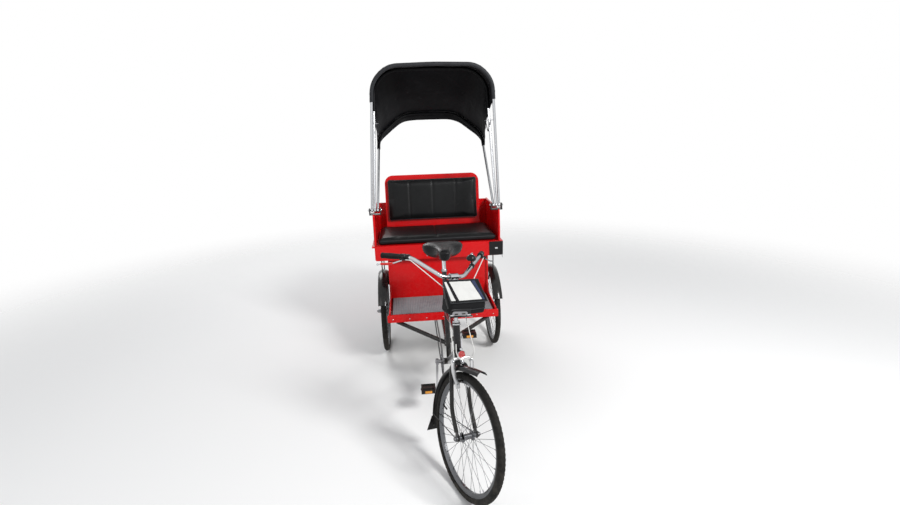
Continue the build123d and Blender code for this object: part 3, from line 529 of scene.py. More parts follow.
DUST = (0.30, 0.27, 0.22)
FINISHES = {
    "frame_paint": finish(
        "frame_paint", (0.006, 0.006, 0.007), 0.18,
        [
            ("scuffs", {"Bare": (0.16, 0.16, 0.16), "Amount": 0.4}),
            ("road_dust", {"Dust": DUST, "Amount": 0.2}),
        ],
        ("pebbles", {"Scale": 260.0}, 0.0002, 0.25), Coat_Weight=0.2, Coat_Roughness=0.06,
        Specular_IOR_Level=0.2,
    ),
    "chassis_paint": finish(
        "chassis_paint", (0.010, 0.010, 0.011), 0.42,
        [
            ("scuffs", {"Bare": (0.10, 0.09, 0.08), "Amount": 0.6}),
            ("road_dust", {"Dust": DUST, "Amount": 0.6}),
        ],
        ("pebbles", {"Scale": 420.0}, 0.0004, 0.4), Specular_IOR_Level=0.2,
    ),
    "red_panel": finish(
        "red_panel", (0.60, 0.003, 0.005), 0.26,
        [
            ("mottle", {"Shade": 0.86, "Scale": 3.0}),
            ("scuffs", {"Bare": (0.60, 0.10, 0.09), "Amount": 0.3, "Scale": 24.0}),
            ("road_dust", {"Dust": (0.30, 0.15, 0.12), "Amount": 0.14, "Height": 0.9}),
        ],
        ("pebbles", {"Scale": 90.0}, 0.0004, 0.12), Coat_Weight=0.1, Coat_Roughness=0.06,
        Specular_IOR_Level=0.14,
    ),
    "tyre": finish(
        "tyre", (0.008, 0.008, 0.008), 0.62,
        [
            ("mottle", {"Shade": 0.6, "Scale": 40.0}),
            ("road_dust", {"Dust": (0.20, 0.18, 0.15), "Amount": 0.32}),
        ],
        ("pebbles", {"Scale": 900.0}, 0.0005, 0.5), Specular_IOR_Level=0.12,
    ),
    # rim, chrome, steel, bow_tube and cast_alloy pass an edge below 1: painted shade on their outlines, standing
    # in for dark reflections.
    "rim": finish(
        "rim", (0.16, 0.165, 0.175), 0.12,
        [("brushed", {"Spread": 0.3}), ("road_dust", {"Dust": (0.10, 0.09, 0.08), "Amount": 0.3})],
        edge=0.5, Metallic=1.0,
    ),
    "chrome": finish(
        "chrome", (0.60, 0.61, 0.63), 0.07,
        [("brushed", {"Spread": 0.16}), ("scuffs", {"Bare": (0.4, 0.4, 0.4), "Amount": 0.25})],
        edge=0.06, Metallic=1.0, Specular_Tint=(0.3, 0.3, 0.32, 1),
    ),
    "steel": finish(
        "steel", (0.32, 0.32, 0.335), 0.26,
        [("brushed", {"Spread": 0.5}), ("road_dust", {"Dust": (0.12, 0.10, 0.08), "Amount": 0.5})],
        edge=0.15, Metallic=1.0, Specular_Tint=(0.3, 0.3, 0.32, 1),
    ),
    "black_plastic": finish(
        "black_plastic", (0.006, 0.006, 0.007), 0.30,
        [
            ("scuffs", {"Bare": (0.07, 0.07, 0.07), "Amount": 0.4}),
            ("road_dust", {"Dust": DUST, "Amount": 0.14}),
        ],
        ("pebbles", {"Scale": 600.0}, 0.0003, 0.4), Specular_IOR_Level=0.18,
    ),
    "grip": finish(
        "grip", (0.007, 0.007, 0.007), 0.58, [("mottle", {"Shade": 0.6, "Scale": 60.0})],
        ("pebbles", {"Scale": 1200.0}, 0.0004, 0.5), Specular_IOR_Level=0.16,
    ),
    "saddle_cover": finish(
        "saddle_cover", (0.005, 0.005, 0.0055), 0.25,
        [
            ("mottle", {"Shade": 0.65, "Scale": 14.0}),
            ("scuffs", {"Bare": (0.06, 0.06, 0.06), "Amount": 0.5}),
        ],
        ("grain", {"Scale": 560.0}, 0.0005, 0.45), Specular_IOR_Level=0.17,
    ),
    "seat_vinyl": finish(
        "seat_vinyl", (0.008, 0.0085, 0.009), 0.34,
        [("mottle", {"Shade": 0.7, "Scale": 8.0}), ("scuffs", {"Bare": (0.07, 0.07, 0.07), "Amount": 0.5})],
        ("grain", {"Scale": 380.0}, 0.0007, 0.5), Specular_IOR_Level=0.14,
    ),
    "hood_vinyl": finish(
        "hood_vinyl", (0.006, 0.006, 0.007), 0.46,
        [
            ("mottle", {"Shade": 0.55, "Scale": 5.0}),
            ("scuffs", {"Bare": (0.05, 0.05, 0.055), "Amount": 0.6}),
        ],
        ("creases", {"Scale": 7.0}, 0.008, 0.5), Specular_IOR_Level=0.1,
    ),
    "bag_cloth": finish(
        "bag_cloth", (0.009, 0.009, 0.010), 0.66, [("weave", {"Threads": 2600.0})],
        ("weave", {"Threads": 2600.0}, 0.0006, 0.7), Specular_IOR_Level=0.1,
    ),
    "floor_rubber": finish(
        "floor_rubber", (0.25, 0.27, 0.285), 0.6,
        [
            ("mottle", {"Shade": 0.74, "Scale": 6.0}),
            ("road_dust", {"Dust": (0.34, 0.36, 0.37), "Amount": 0.7, "Height": 3.0}),
        ],
        ("ribs", {"Ribs per metre": 75.0}, 0.0035, 1.0), Specular_IOR_Level=0.12,
    ),
    "floor_board": finish(
        "floor_board", (0.20, 0.15, 0.10), 0.6,
        [("mottle", {"Shade": 0.6, "Scale": 12.0}), ("road_dust", {"Dust": DUST, "Amount": 0.5})],
        ("pebbles", {"Scale": 180.0}, 0.0006, 0.4), Specular_IOR_Level=0.2,
    ),
    "bow_tube": finish(
        "bow_tube", (0.62, 0.63, 0.65), 0.16,
        [("brushed", {"Spread": 0.3}), ("scuffs", {"Bare": (0.4, 0.4, 0.4), "Amount": 0.3})],
        edge=0.06, Metallic=1.0, Specular_Tint=(0.3, 0.3, 0.32, 1),
    ),
    "reflector": finish(
        "reflector", (0.42, 0.02, 0.02), 0.12, [("mottle", {"Shade": 0.7, "Scale": 120.0})],
        ("grain", {"Scale": 330.0}, 0.0016, 0.8), Coat_Weight=0.4, Coat_Roughness=0.03,
    ),
    # Finishes of trims that have no node of their own
    "hem_tape": finish(
        "hem_tape", (0.030, 0.031, 0.034), 0.45, [("mottle", {"Shade": 0.6, "Scale": 18.0})],
        ("weave", {"Threads": 3800.0}, 0.0004, 0.5), Specular_IOR_Level=0.12,
    ),
    "clear_sleeve": finish(
        "clear_sleeve", (0.58, 0.58, 0.56), 0.2, [("mottle", {"Shade": 0.9, "Scale": 22.0})],
        ("creases", {"Scale": 26.0}, 0.0016, 0.5), Coat_Weight=0.15, Coat_Roughness=0.05,
    ),
    "blue_trim": finish(
        "blue_trim", (0.030, 0.040, 0.085), 0.6, [("weave", {"Threads": 3000.0})],
        ("weave", {"Threads": 3000.0}, 0.0005, 0.6), Specular_IOR_Level=0.12,
    ),
    "cable_cover": finish(
        "cable_cover", (0.62, 0.62, 0.60), 0.34,
        [("road_dust", {"Dust": DUST, "Amount": 0.5, "Height": 1.6})],
        ("pebbles", {"Scale": 500.0}, 0.0002, 0.3),
    ),
    "red_rubber": finish(
        "red_rubber", (0.60, 0.02, 0.015), 0.34, [("mottle", {"Shade": 0.75, "Scale": 70.0})],
        ("pebbles", {"Scale": 700.0}, 0.0003, 0.4), Specular_IOR_Level=0.2,
    ),
    "amber_lens": finish(
        "amber_lens", (0.75, 0.30, 0.02), 0.14, [("mottle", {"Shade": 0.7, "Scale": 150.0})],
        ("grain", {"Scale": 420.0}, 0.0012, 0.8), Coat_Weight=0.4, Coat_Roughness=0.03,
    ),
    "cast_alloy": finish(
        "cast_alloy", (0.56, 0.56, 0.57), 0.30,
        [
            ("brushed", {"Spread": 0.3}),
            ("road_dust", {"Dust": (0.3, 0.28, 0.25), "Amount": 0.2, "Height": 1.6}),
        ],
        ("pebbles", {"Scale": 500.0}, 0.0003, 0.3), edge=0.12, Metallic=1.0,
        Specular_Tint=(0.3, 0.3, 0.32, 1),
    ),
    "brake_rubber": finish(
        "brake_rubber", (0.020, 0.020, 0.020), 0.8,
        [("road_dust", {"Dust": DUST, "Amount": 0.4, "Height": 1.6})],
        ("pebbles", {"Scale": 700.0}, 0.0004, 0.5), Specular_IOR_Level=0.1,
    ),
}


# Forms that several pieces share


def shown(name, form, body, slot, finish_name=None, sharp=35, outward=False, blended=False):
    """Turns a form into a smooth piece with its hard edges kept, which rides on a body."""
    if outward:
        bmesh.ops.remove_doubles(form, verts=form.verts, dist=0.00002)
        bmesh.ops.recalc_face_normals(form, faces=form.faces)
    limit = radians(sharp)
    for face in form.faces:
        face.smooth = True
    for edge in form.edges:
        edge.smooth = edge.calc_face_angle(0.0) < limit
    mesh = bpy.data.meshes.new(name)
    form.to_mesh(mesh)
    form.free()
    piece = bpy.data.objects.new(name, mesh)
    bpy.context.collection.objects.link(piece)
    mesh.materials.append(FINISHES[finish_name or slot])
    if not blended:
        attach(piece, body)
    return piece


def turn_to(direction):
    return Vector(direction).to_track_quat("Z", "Y").to_matrix().to_4x4()


def add_bar(form, start, end, radius, end_radius=None, sides=16):
    """A straight round bar, or a cone, between two points."""
    start, end = Vector(start), Vector(end)
    return bmesh.ops.create_cone(
        form, cap_ends=True, segments=sides, radius1=radius,
        radius2=radius if end_radius is None else end_radius,
        depth=(end - start).length, matrix=Matrix.Translation((start + end) / 2) @ turn_to(end - start),
    )["verts"]


def add_block(form, low, high, rounding=0.002, segments=2, turn=None):
    """A block from its lowest to its highest corner, with rounded edges, turned about its middle if asked."""
    low, high = Vector(low), Vector(high)
    size, middle = high - low, (low + high) / 2
    place = Matrix.Translation(middle) @ (turn or Matrix()) @ Matrix.Diagonal((*size, 1))
    verts = bmesh.ops.create_cube(form, size=1, matrix=place)["verts"]
    edges = list({edge for vert in verts for edge in vert.link_edges})
    if rounding:
        bmesh.ops.bevel(
            form, geom=edges, offset=rounding, segments=segments, profile=0.5, affect="EDGES", material=-1,
            clamp_overlap=True,
        )


def add_lathed(form, profile, centre, axis, steps=48):
    """A closed or open profile of (along, radius) spun right round an axis."""
    axis = Vector(axis).normalized()
    side = axis.orthogonal().normalized()
    verts = [form.verts.new(Vector(centre) + axis * along + side * radius) for along, radius in profile]
    edges = [form.edges.new(pair) for pair in zip(verts, verts[1:])]
    bmesh.ops.spin(
        form, geom=verts + edges, cent=centre, axis=axis, angle=2 * pi, steps=steps, use_merge=True,
        use_normal_flip=False, use_duplicate=False,
    )


def join_rings(form, rings, closed=False):
    """Joins each ring of corners to the next one, and turns the faces outwards."""
    loops = [list({edge for vert in ring for edge in vert.link_edges}) for ring in rings]
    for loop, following in zip(loops, loops[1:] + loops[:1] if closed else loops[1:]):
        bmesh.ops.bridge_loops(form, edges=loop + following)
    faces = list({face for ring in rings for vert in ring for face in vert.link_faces})
    bmesh.ops.recalc_face_normals(form, faces=faces)


def add_pipe(form, points, radius, sides=10, closed=False, flatten=None):
    """A round tube through points; flatten gives a direction and the share of its girth left along it."""
    points = [Vector(point) for point in points]
    rings = []
    count = len(points)
    side = None
    for index, point in enumerate(points):
        after = points[(index + 1) % count] if closed or index < count - 1 else point
        before = points[index - 1] if closed or index > 0 else point
        along = (after - before).normalized()
        side = along.orthogonal() if side is None else side - along * side.dot(along)
        side.normalize()
        across = along.cross(side)
        turn = Matrix((side, across, along)).transposed().to_4x4()
        size = radius(index / (count - 1)) if callable(radius) else radius
        place = Matrix.Translation(point) @ turn
        ends = not closed and index in (0, count - 1)
        ring = bmesh.ops.create_circle(form, cap_ends=ends, segments=sides, radius=size, matrix=place)[
            "verts"
        ]
        if flatten:
            direction, share = Vector(flatten[0]).normalized(), flatten[1]
            for vert in ring:
                vert.co -= direction * (vert.co - point).dot(direction) * (1 - share)
        rings.append(ring)
    join_rings(form, rings, closed)


def add_dome(form, centre, axis, radius, height, steps=24):
    """A shallow dome, such as a rivet's or a cap's head, on a flat face."""
    profile = [(-0.0004, radius), (0.0, radius)]
    profile += [(height * sin(pi / 8 * k), max(radius * cos(pi / 8 * k), 0.00001)) for k in range(1, 5)]
    add_lathed(form, profile, centre, axis, steps)


def add_bolt(form, centre, axis, across=0.013, height=0.006):
    """A washer, a hexagon head with worn corners and the end of its thread."""
    centre, axis = Vector(centre), Vector(axis).normalized()
    add_bar(form, centre - axis * 0.0004, centre + axis * 0.0014, across * 0.82, sides=20)
    head = add_bar(form, centre + axis * 0.0014, centre + axis * (0.0014 + height), across * 0.577, sides=6)
    edges = list({edge for vert in head for edge in vert.link_edges})
    bmesh.ops.bevel(form, geom=edges, offset=0.0007, segments=2, profile=0.5, affect="EDGES", material=-1)
    tip = centre + axis * (0.0014 + height)
    add_bar(form, tip, tip + axis * 0.0015, across * 0.3, across * 0.26, sides=14)


def steer(form):
    bmesh.ops.transform(form, matrix=STEERED, verts=form.verts)


def spline(points, count):
    """Evenly shared points on a smooth line through the given ones."""
    points = [Vector(point) for point in points]
    ends = [points[0] * 2 - points[1]] + points + [points[-1] * 2 - points[-2]]
    line = []
    for a, b, c, d in zip(ends, ends[1:], ends[2:], ends[3:]):
        for step in range(count):
            t = step / count
            bend = a * 2 - b * 5 + c * 4 - d
            twist = b * 3 - a - c * 3 + d
            line.append(b + (c - a) * t / 2 + bend * t * t / 2 + twist * t**3 / 2)
    return line + [points[-1]]


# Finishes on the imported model's own nodes


def finish_nodes():
    for row in frame["record"]["subparts"]:
        node = NODES[row["node"]]
        node.data.materials.clear()
        node.data.materials.append(FINISHES[row["material_slot"]])
    NODES["brake_cables"].data.materials[0] = FINISHES["cable_cover"]


# Wheels

WHEELS = {
    # tyre: (body, place of the wheel's middle, its axle's direction, which rim)
    "front_tyre": ("front_wheel", FRONT_AXLE, FRONT_AXLE_LINE, "front"),
    "rear_tyre_left": ("rear_wheel_left", REAR_AXLE + ACROSS * REAR_X, ACROSS, "rear"),
    "rear_tyre_right": ("rear_drive", REAR_AXLE - ACROSS * REAR_X, ACROSS, "rear"),
}


def make_tyre(name, body, centre, axle, rim):
    """A road tyre: raised blocks between grooves on the tread, ribs on its walls and its beads in the rim."""
    radius, width = RIM_WIDTHS[rim]
    half = width / 2
    bead = radius - width + 0.0045
    form = bmesh.new()
    profile = [(-0.0115, bead), (-0.0115, bead + 0.005), (-0.0150, bead + 0.0062)]
    for step in range(21):
        turn = radians(-128 + 256 / 20 * step)
        stand = 0.0006 if step in (4, 16) else 0.0
        profile.append(((half + stand) * sin(turn), radius - half + (half + stand) * cos(turn) * 0.995))
    profile += [(0.0150, bead + 0.0062), (0.0115, bead + 0.005), (0.0115, bead)]
    steps = 168
    add_lathed(form, profile, centre, axle, steps)
    bmesh.ops.remove_doubles(form, verts=form.verts, dist=0.00002)
    bmesh.ops.recalc_face_normals(form, faces=form.faces)
    axle = Vector(axle).normalized()
    blocks = []
    side = axle.orthogonal().normalized()
    across = axle.cross(side)
    for face in form.faces:
        spoke = face.calc_center_median() - centre
        along = spoke.dot(axle)
        out = (spoke - axle * along).length
        if out > radius - 0.0075 and abs(along) < half * 0.78:
            turn = atan2(spoke.dot(across), spoke.dot(side)) / (2 * pi) * steps
            lane = int((along + half) / width * 8)
            if (int(turn + 1000) + lane) % 2:
                blocks.append(face)
    bmesh.ops.inset_individual(form, faces=blocks, thickness=0.0012, depth=0.0013)
    piece = shown(f"{name}_road", form, body, "tyre", sharp=50)
    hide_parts(name)


def make_wheel_trim(name, body, centre, axle, rim):
    """Spoke nipples, the valve and the caps on the hub."""
    radius, width = RIM_WIDTHS[rim]
    bed = radius - width + 0.004
    axle = Vector(axle).normalized()
    side = Vector((0, 1, 0)) if rim == "rear" else STEERED.to_3x3() @ Vector((0, 1, 0))
    up = axle.cross(side)
    form = bmesh.new()
    for index in range(SPOKE_COUNT):
        turn = 2 * pi * index / SPOKE_COUNT
        out = side * cos(turn) + up * sin(turn)
        root = centre + axle * (0.0026 if index % 2 else -0.0026)
        add_bar(form, root + out * (bed - 0.0195), root + out * (bed - 0.031), 0.0026, 0.0017, 8)
    shown(f"{name}_nipples", form, body, "rim", "chrome")
    form = bmesh.new()
    out = side * cos(0.09) + up * sin(0.09)
    add_bar(form, centre + out * (bed - 0.018), centre + out * (bed - 0.044), 0.0042, sides=14)
    add_bar(form, centre + out * (bed - 0.044), centre + out * (bed - 0.056), 0.0050, 0.0038, sides=14)
    shown(f"{name}_valve", form, body, "black_plastic")
    form = bmesh.new()
    reach = 0.049 if rim == "front" else 0.055
    bore = 0.0052 if rim == "front" else 0.0102
    for sign in (-1, 1):
        rings = [
            (0.0, bore + 0.0062), (0.0012, bore + 0.0062), (0.0018, bore + 0.0050), (0.0018, bore + 0.0004)
        ]
        add_lathed(form, rings, centre + axle * sign * reach, axle * sign, 28)
    shell = 0.0138 if rim == "front" else 0.0238
    for index in range(9):
        turn = radians(40 * index)
        out = side * cos(turn) + up * sin(turn)
        add_dome(form, centre + out * shell, out, 0.0012, 0.0006, 8)
    shown(f"{name}_hub_caps", form, body, "rim", "chrome", outward=True)


def make_axle_nuts():
    form = bmesh.new()
    for sign in (-1, 1):
        place = FRONT_AXLE + FRONT_AXLE_LINE * sign * 0.0662
        add_bolt(form, place, FRONT_AXLE_LINE * sign, 0.016, 0.008)
    shown("front_axle_nuts", form, "steering", "steel")
    form = bmesh.new()
    for sign in (-1, 1):
        place = REAR_AXLE + Vector((sign * 0.5102, 0, 0))
        rings = [(0.0, 0.0082), (0.0, 0.0160), (0.0024, 0.0160), (0.0030, 0.0150), (0.0030, 0.0082)]
        add_lathed(form, rings, place, ACROSS * sign, 30)
    shown("rear_axle_washers", form, "rear_drive", "steel", outward=True)


# Bicycle part


def bar_side(sign):
    """The end, the direction inwards along the grip, and the lever's side of one half of the handlebar."""
    end = BAR_CENTRE + Vector((sign * BAR_HALF, BAR_SWEEP, 0.060))
    before = BAR_CENTRE + Vector((sign * BAR_KNEE.x, BAR_KNEE.y, BAR_KNEE.z))
    along = (before - end).normalized()
    outward = along.cross(Vector((0, 0, -sign))).normalized() * 0.9 - Vector((0, 0, 0.43))
    return end, along, outward


def make_grips():
    for name, sign in (("right", -1), ("left", 1)):
        end, along, _ = bar_side(sign)
        form = bmesh.new()
        profile = [
            (-0.0040, 0.0002), (-0.0040, 0.0120), (-0.0020, 0.0158), (0.0020, 0.0165), (0.0060, 0.0158)
        ]
        rings = 17
        for ring in range(rings):
            start = 0.010 + ring * (GRIP_LENGTH - 0.024) / rings
            swell = 0.0142 + 0.0014 * sin(pi * ring / (rings - 1))
            profile += [
                (start, swell - 0.0008), (start + 0.0012, swell + 0.0004), (start + 0.0034, swell + 0.0004)
            ]
            profile += [(start + 0.0046, swell - 0.0008)]
        profile += [
            (GRIP_LENGTH - 0.010, 0.0150), (GRIP_LENGTH - 0.006, 0.0168), (GRIP_LENGTH - 0.001, 0.0168)
        ]
        profile += [(GRIP_LENGTH, 0.0155), (GRIP_LENGTH, BAR_RADIUS)]
        add_lathed(form, profile, end, along, 40)
        steer(form)
        piece = shown(f"grip_{name}", form, "steering", "grip", outward=True)
        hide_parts("grips")


def make_levers():
    """A cast perch, a lever with a ball end and its screw on each side; the right one has a red sleeve."""
    for name, sign in (("right", -1), ("left", 1)):
        end, along, outward = bar_side(sign)
        outward = outward.normalized()
        clamp = end + along * (GRIP_LENGTH + 0.014)
        form = bmesh.new()
        ring = [
            (-0.0120, BAR_RADIUS), (-0.0120, 0.0155), (-0.0100, 0.0172), (0.0110, 0.0172), (0.0130, 0.0150)
        ]
        ring += [
            (0.0180, 0.0150), (0.0200, 0.0165), (0.0320, 0.0165), (0.0340, 0.0150), (0.0340, BAR_RADIUS)
        ]
        add_lathed(form, ring, clamp, along, 28)
        cast = [clamp + outward * 0.012, clamp + outward * 0.022 + along * 0.002, clamp + outward * 0.034]
        add_pipe(form, spline(cast, 4), lambda t: 0.0085 - 0.0020 * t, 14)
        add_bar(
            form, clamp + outward * 0.024 + along * 0.006, clamp + outward * 0.024 + along * 0.024, 0.0052,
            0.0042,
        )
        add_bolt(form, clamp + outward * 0.031 + UP * 0.006, UP, 0.008, 0.003)
        steer(form)
        perch = shown(f"lever_perch_{name}", form, "steering", "steel", "black_plastic", outward=True)
        form = bmesh.new()
        hinge = clamp + outward * 0.031
        route = [
            hinge + along * 0.006, hinge - along * 0.006 + outward * 0.010,
            hinge - along * 0.030 + outward * 0.030,
            hinge - along * 0.062 + outward * 0.040, hinge - along * 0.094 + outward * 0.044,
            hinge - along * 0.112 + outward * 0.050,
        ]
        add_pipe(form, spline(route, 6), lambda t: 0.0058 - 0.0012 * t, 14, flatten=(UP, 0.62))
        bmesh.ops.create_uvsphere(
            form, u_segments=16, v_segments=10, radius=0.0058, matrix=Matrix.Translation(route[-1])
        )
        steer(form)
        blade = shown(f"lever_{name}", form, "steering", "steel", "chrome")
        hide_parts("bar_controls")
        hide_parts("bar_controls")
        if sign == -1:
            form = bmesh.new()
            add_pipe(form, spline(route[2:5], 6), 0.0084, 14, flatten=(UP, 0.75))
            steer(form)
            shown("lever_sleeve", form, "steering", "grip", "red_rubber")


def make_bell():
    inner = BAR_CENTRE + BAR_INNER
    knee = BAR_CENTRE + BAR_KNEE
    root = (inner + knee) / 2
    run = (knee - inner).normalized()
    rise = (UP - run * run.z).normalized()
    bell = root + rise * 0.046
    form = bmesh.new()
    dome = [(0.0000, 0.0255), (-0.0012, 0.0268), (0.0006, 0.0270)]
    dome += [(0.0270 * sin(pi / 22 * k), 0.0270 * cos(pi / 22 * k)) for k in range(1, 11)]
    dome += [(0.0280, 0.0026), (0.0296, 0.0026), (0.0302, 0.0002)]
    add_lathed(form, dome, bell, UP, 44)
    steer(form)
    piece = shown("bell_dome", form, "steering", "chrome", "black_plastic", outward=True)
    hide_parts("bar_controls")
    form = bmesh.new()
    add_dome(form, bell + UP * 0.0288, UP, 0.0085, 0.0050, 24)
    steer(form)
    shown("bell_knob", form, "steering", "chrome", outward=True)
    form = bmesh.new()
    add_lathed(
        form, [(0, 0.0002), (0, 0.0215), (0.0026, 0.0225), (0.0044, 0.0215), (0.0044, 0.0002)],
        bell - UP * 0.006, UP, 32,
    )
    band = [(-0.007, BAR_RADIUS), (-0.007, 0.0142), (-0.0058, 0.0152), (0.0058, 0.0152), (0.007, 0.0142)]
    add_lathed(form, band + [(0.007, BAR_RADIUS)], root, run, 26)
    add_bar(form, root + rise * 0.012, bell - UP * 0.004, 0.005)
    thumb = bell - UP * 0.0035
    striker = [thumb, thumb + Vector((-0.016, -0.016, 0)), thumb + Vector((-0.030, -0.022, 0.003))]
    add_pipe(form, spline(striker, 5), lambda t: 0.0036 + 0.0016 * t, 12, flatten=(UP, 0.5))
    steer(form)
    piece = shown("bell_base", form, "steering", "black_plastic", outward=True)
    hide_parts("bar_controls")


def make_head_fittings():
    """Headset cups, the stem's clamp bolt and cap, and rings round the bar at the stem."""
    form = bmesh.new()
    for rise, sign in ((CROWN_RISE + 0.0155, -1), (CROWN_RISE + 0.0165 + HEAD_LENGTH, 1)):
        rings = [(0.0004, 0.0150), (0.0004, 0.0226), (0.0020, 0.0232), (0.0050, 0.0232), (0.0062, 0.0215)]
        rings += [(0.0074, 0.0215), (0.0074, 0.0150)]
        add_lathed(form, rings, on_steerer(0, rise, 0), HEAD_UP * sign, 36)
    top = on_steerer(0, CROWN_RISE + 0.016 + HEAD_LENGTH + 0.0140, 0)
    add_lathed(
        form, [(0, 0.0112), (0, 0.0190), (0.0070, 0.0190), (0.0082, 0.0178), (0.0082, 0.0112)], top,
        HEAD_UP, 6,
    )
    steer(form)
    shown("headset", form, "steering", "chrome", outward=True)
    form = bmesh.new()
    back = BAR_CENTRE - HEAD_AHEAD * 0.0180
    add_bolt(form, back, -HEAD_AHEAD, 0.011, 0.005)
    for sign in (-1, 1):
        rim = [(0, 0.0112), (0, 0.0182), (0.0030, 0.0190), (0.0042, 0.0182), (0.0042, 0.0112)]
        add_lathed(form, rim, BAR_CENTRE + Vector((sign * 0.0195, 0, 0)), ACROSS * sign, 32)
    steer(form)
    shown("stem_fittings", form, "steering", "chrome", outward=True)


def make_frame_fittings():
    """The seat tube's clamp and the bracket's bearing rings."""
    lean = SEAT_LEAN.normalized()
    seat_top = CRANK + SEAT_LEAN * (SEAT_TUBE_TOP - CRANK.z)
    form = bmesh.new()
    rings = [
        (-0.016, 0.0161), (-0.016, 0.0192), (-0.014, 0.0200), (0.000, 0.0200), (0.002, 0.0192),
        (0.002, 0.0140),
    ]
    add_lathed(form, rings, seat_top, lean, 32)
    add_block(
        form, seat_top + Vector((-0.011, 0.016, -0.018)), seat_top + Vector((0.011, 0.032, -0.003)), 0.003
    )
    add_bolt(form, seat_top + Vector((0.011, 0.025, -0.010)), ACROSS, 0.010, 0.005)
    shown("seat_clamp", form, "root", "steel", outward=True)
    form = bmesh.new()
    for sign in (-1, 1):
        rings = [(0.0, 0.0125), (0.0, 0.0225), (0.0030, 0.0235), (0.0050, 0.0225), (0.0050, 0.0125)]
        add_lathed(form, rings, CRANK + Vector((sign * 0.0340, 0, 0)), ACROSS * sign, 32)
    shown("bracket_cups", form, "root", "steel", outward=True)


def make_saddle():
    """A wide saddle with a domed top, a deep rolled skirt, a drooping nose and its rails and clamp."""
    tail, nose, top = REAR_AXLE.y - 0.605, REAR_AXLE.y - 0.880, SADDLE_TOP
    stations = [
        # (share of the way from tail to nose, half width, height of the crown, depth of the skirt)
        (0.000, 0.060, -0.026, 0.034), (0.012, 0.096, -0.014, 0.064), (0.055, 0.127, -0.004, 0.090),
        (0.150, 0.141, 0.000, 0.108), (0.260, 0.139, 0.001, 0.112), (0.370, 0.118, 0.000, 0.106),
        (0.480, 0.084, -0.003, 0.094), (0.600, 0.059, -0.006, 0.084), (0.750, 0.046, -0.008, 0.079),
        (0.890, 0.040, -0.011, 0.074), (0.965, 0.032, -0.017, 0.062), (1.000, 0.018, -0.028, 0.038),
    ]
    form = bmesh.new()
    rings = []
    sides = 28
    for share, half, crown, depth in stations:
        y = tail + (nose - tail) * share
        ends = share in (0, 1)
        ring = bmesh.ops.create_circle(form, cap_ends=ends, segments=sides, radius=1)["verts"]
        shoulder = min(0.036 * (half / 0.14) ** 0.5, depth * 0.6)
        for vert in ring:
            turn = atan2(vert.co.y, vert.co.x)
            x = abs(cos(turn)) ** 0.62 * half * (1 if cos(turn) >= 0 else -1)
            if sin(turn) >= 0:
                z = -shoulder * (1 - sin(turn) ** 0.8)
                z -= 0.004 * max(0, 1 - abs(x) / 0.02) * (1 if share < 0.6 else 0)
            else:
                z = -shoulder - (depth - shoulder) * abs(sin(turn)) ** 0.62
                x *= 1 - 0.16 * abs(sin(turn))
            vert.co = Vector((x, y, top + crown + z))
        rings.append(ring)
    join_rings(form, rings)
    piece = shown("saddle_top", form, "root", "saddle_cover", sharp=80, outward=True)
    smooth = piece.modifiers.new("smooth", "SUBSURF")
    smooth.levels = 2
    smooth.render_levels = 2
    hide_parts("saddle")
    form = bmesh.new()
    low = top - 0.080
    for sign in (-1, 1):
        rail = [
            (sign * 0.022, nose + 0.050, low + 0.012), (sign * 0.026, nose + 0.085, low - 0.006),
            (sign * 0.026, nose + 0.140, low - 0.008), (sign * 0.030, nose + 0.185, low - 0.008),
            (sign * 0.050, tail - 0.062, low - 0.004), (sign * 0.070, tail - 0.048, low + 0.004),
        ]
        add_pipe(form, spline(rail, 6), 0.0038, 12)
    clamp = CRANK + SEAT_LEAN * (SEAT_POST_TOP - CRANK.z)
    half_clamp = ACROSS * 0.030
    add_bar(form, clamp - half_clamp, clamp + half_clamp, 0.0150, sides=28)
    for sign in (-1, 1):
        add_bolt(form, clamp + half_clamp * sign, ACROSS * sign, 0.015, 0.007)
    piece = shown("saddle_frame", form, "root", "saddle_cover", "steel", outward=True)
    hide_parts("saddle")


def rear_of_bag():
    return BAR_CENTRE.y - 0.086


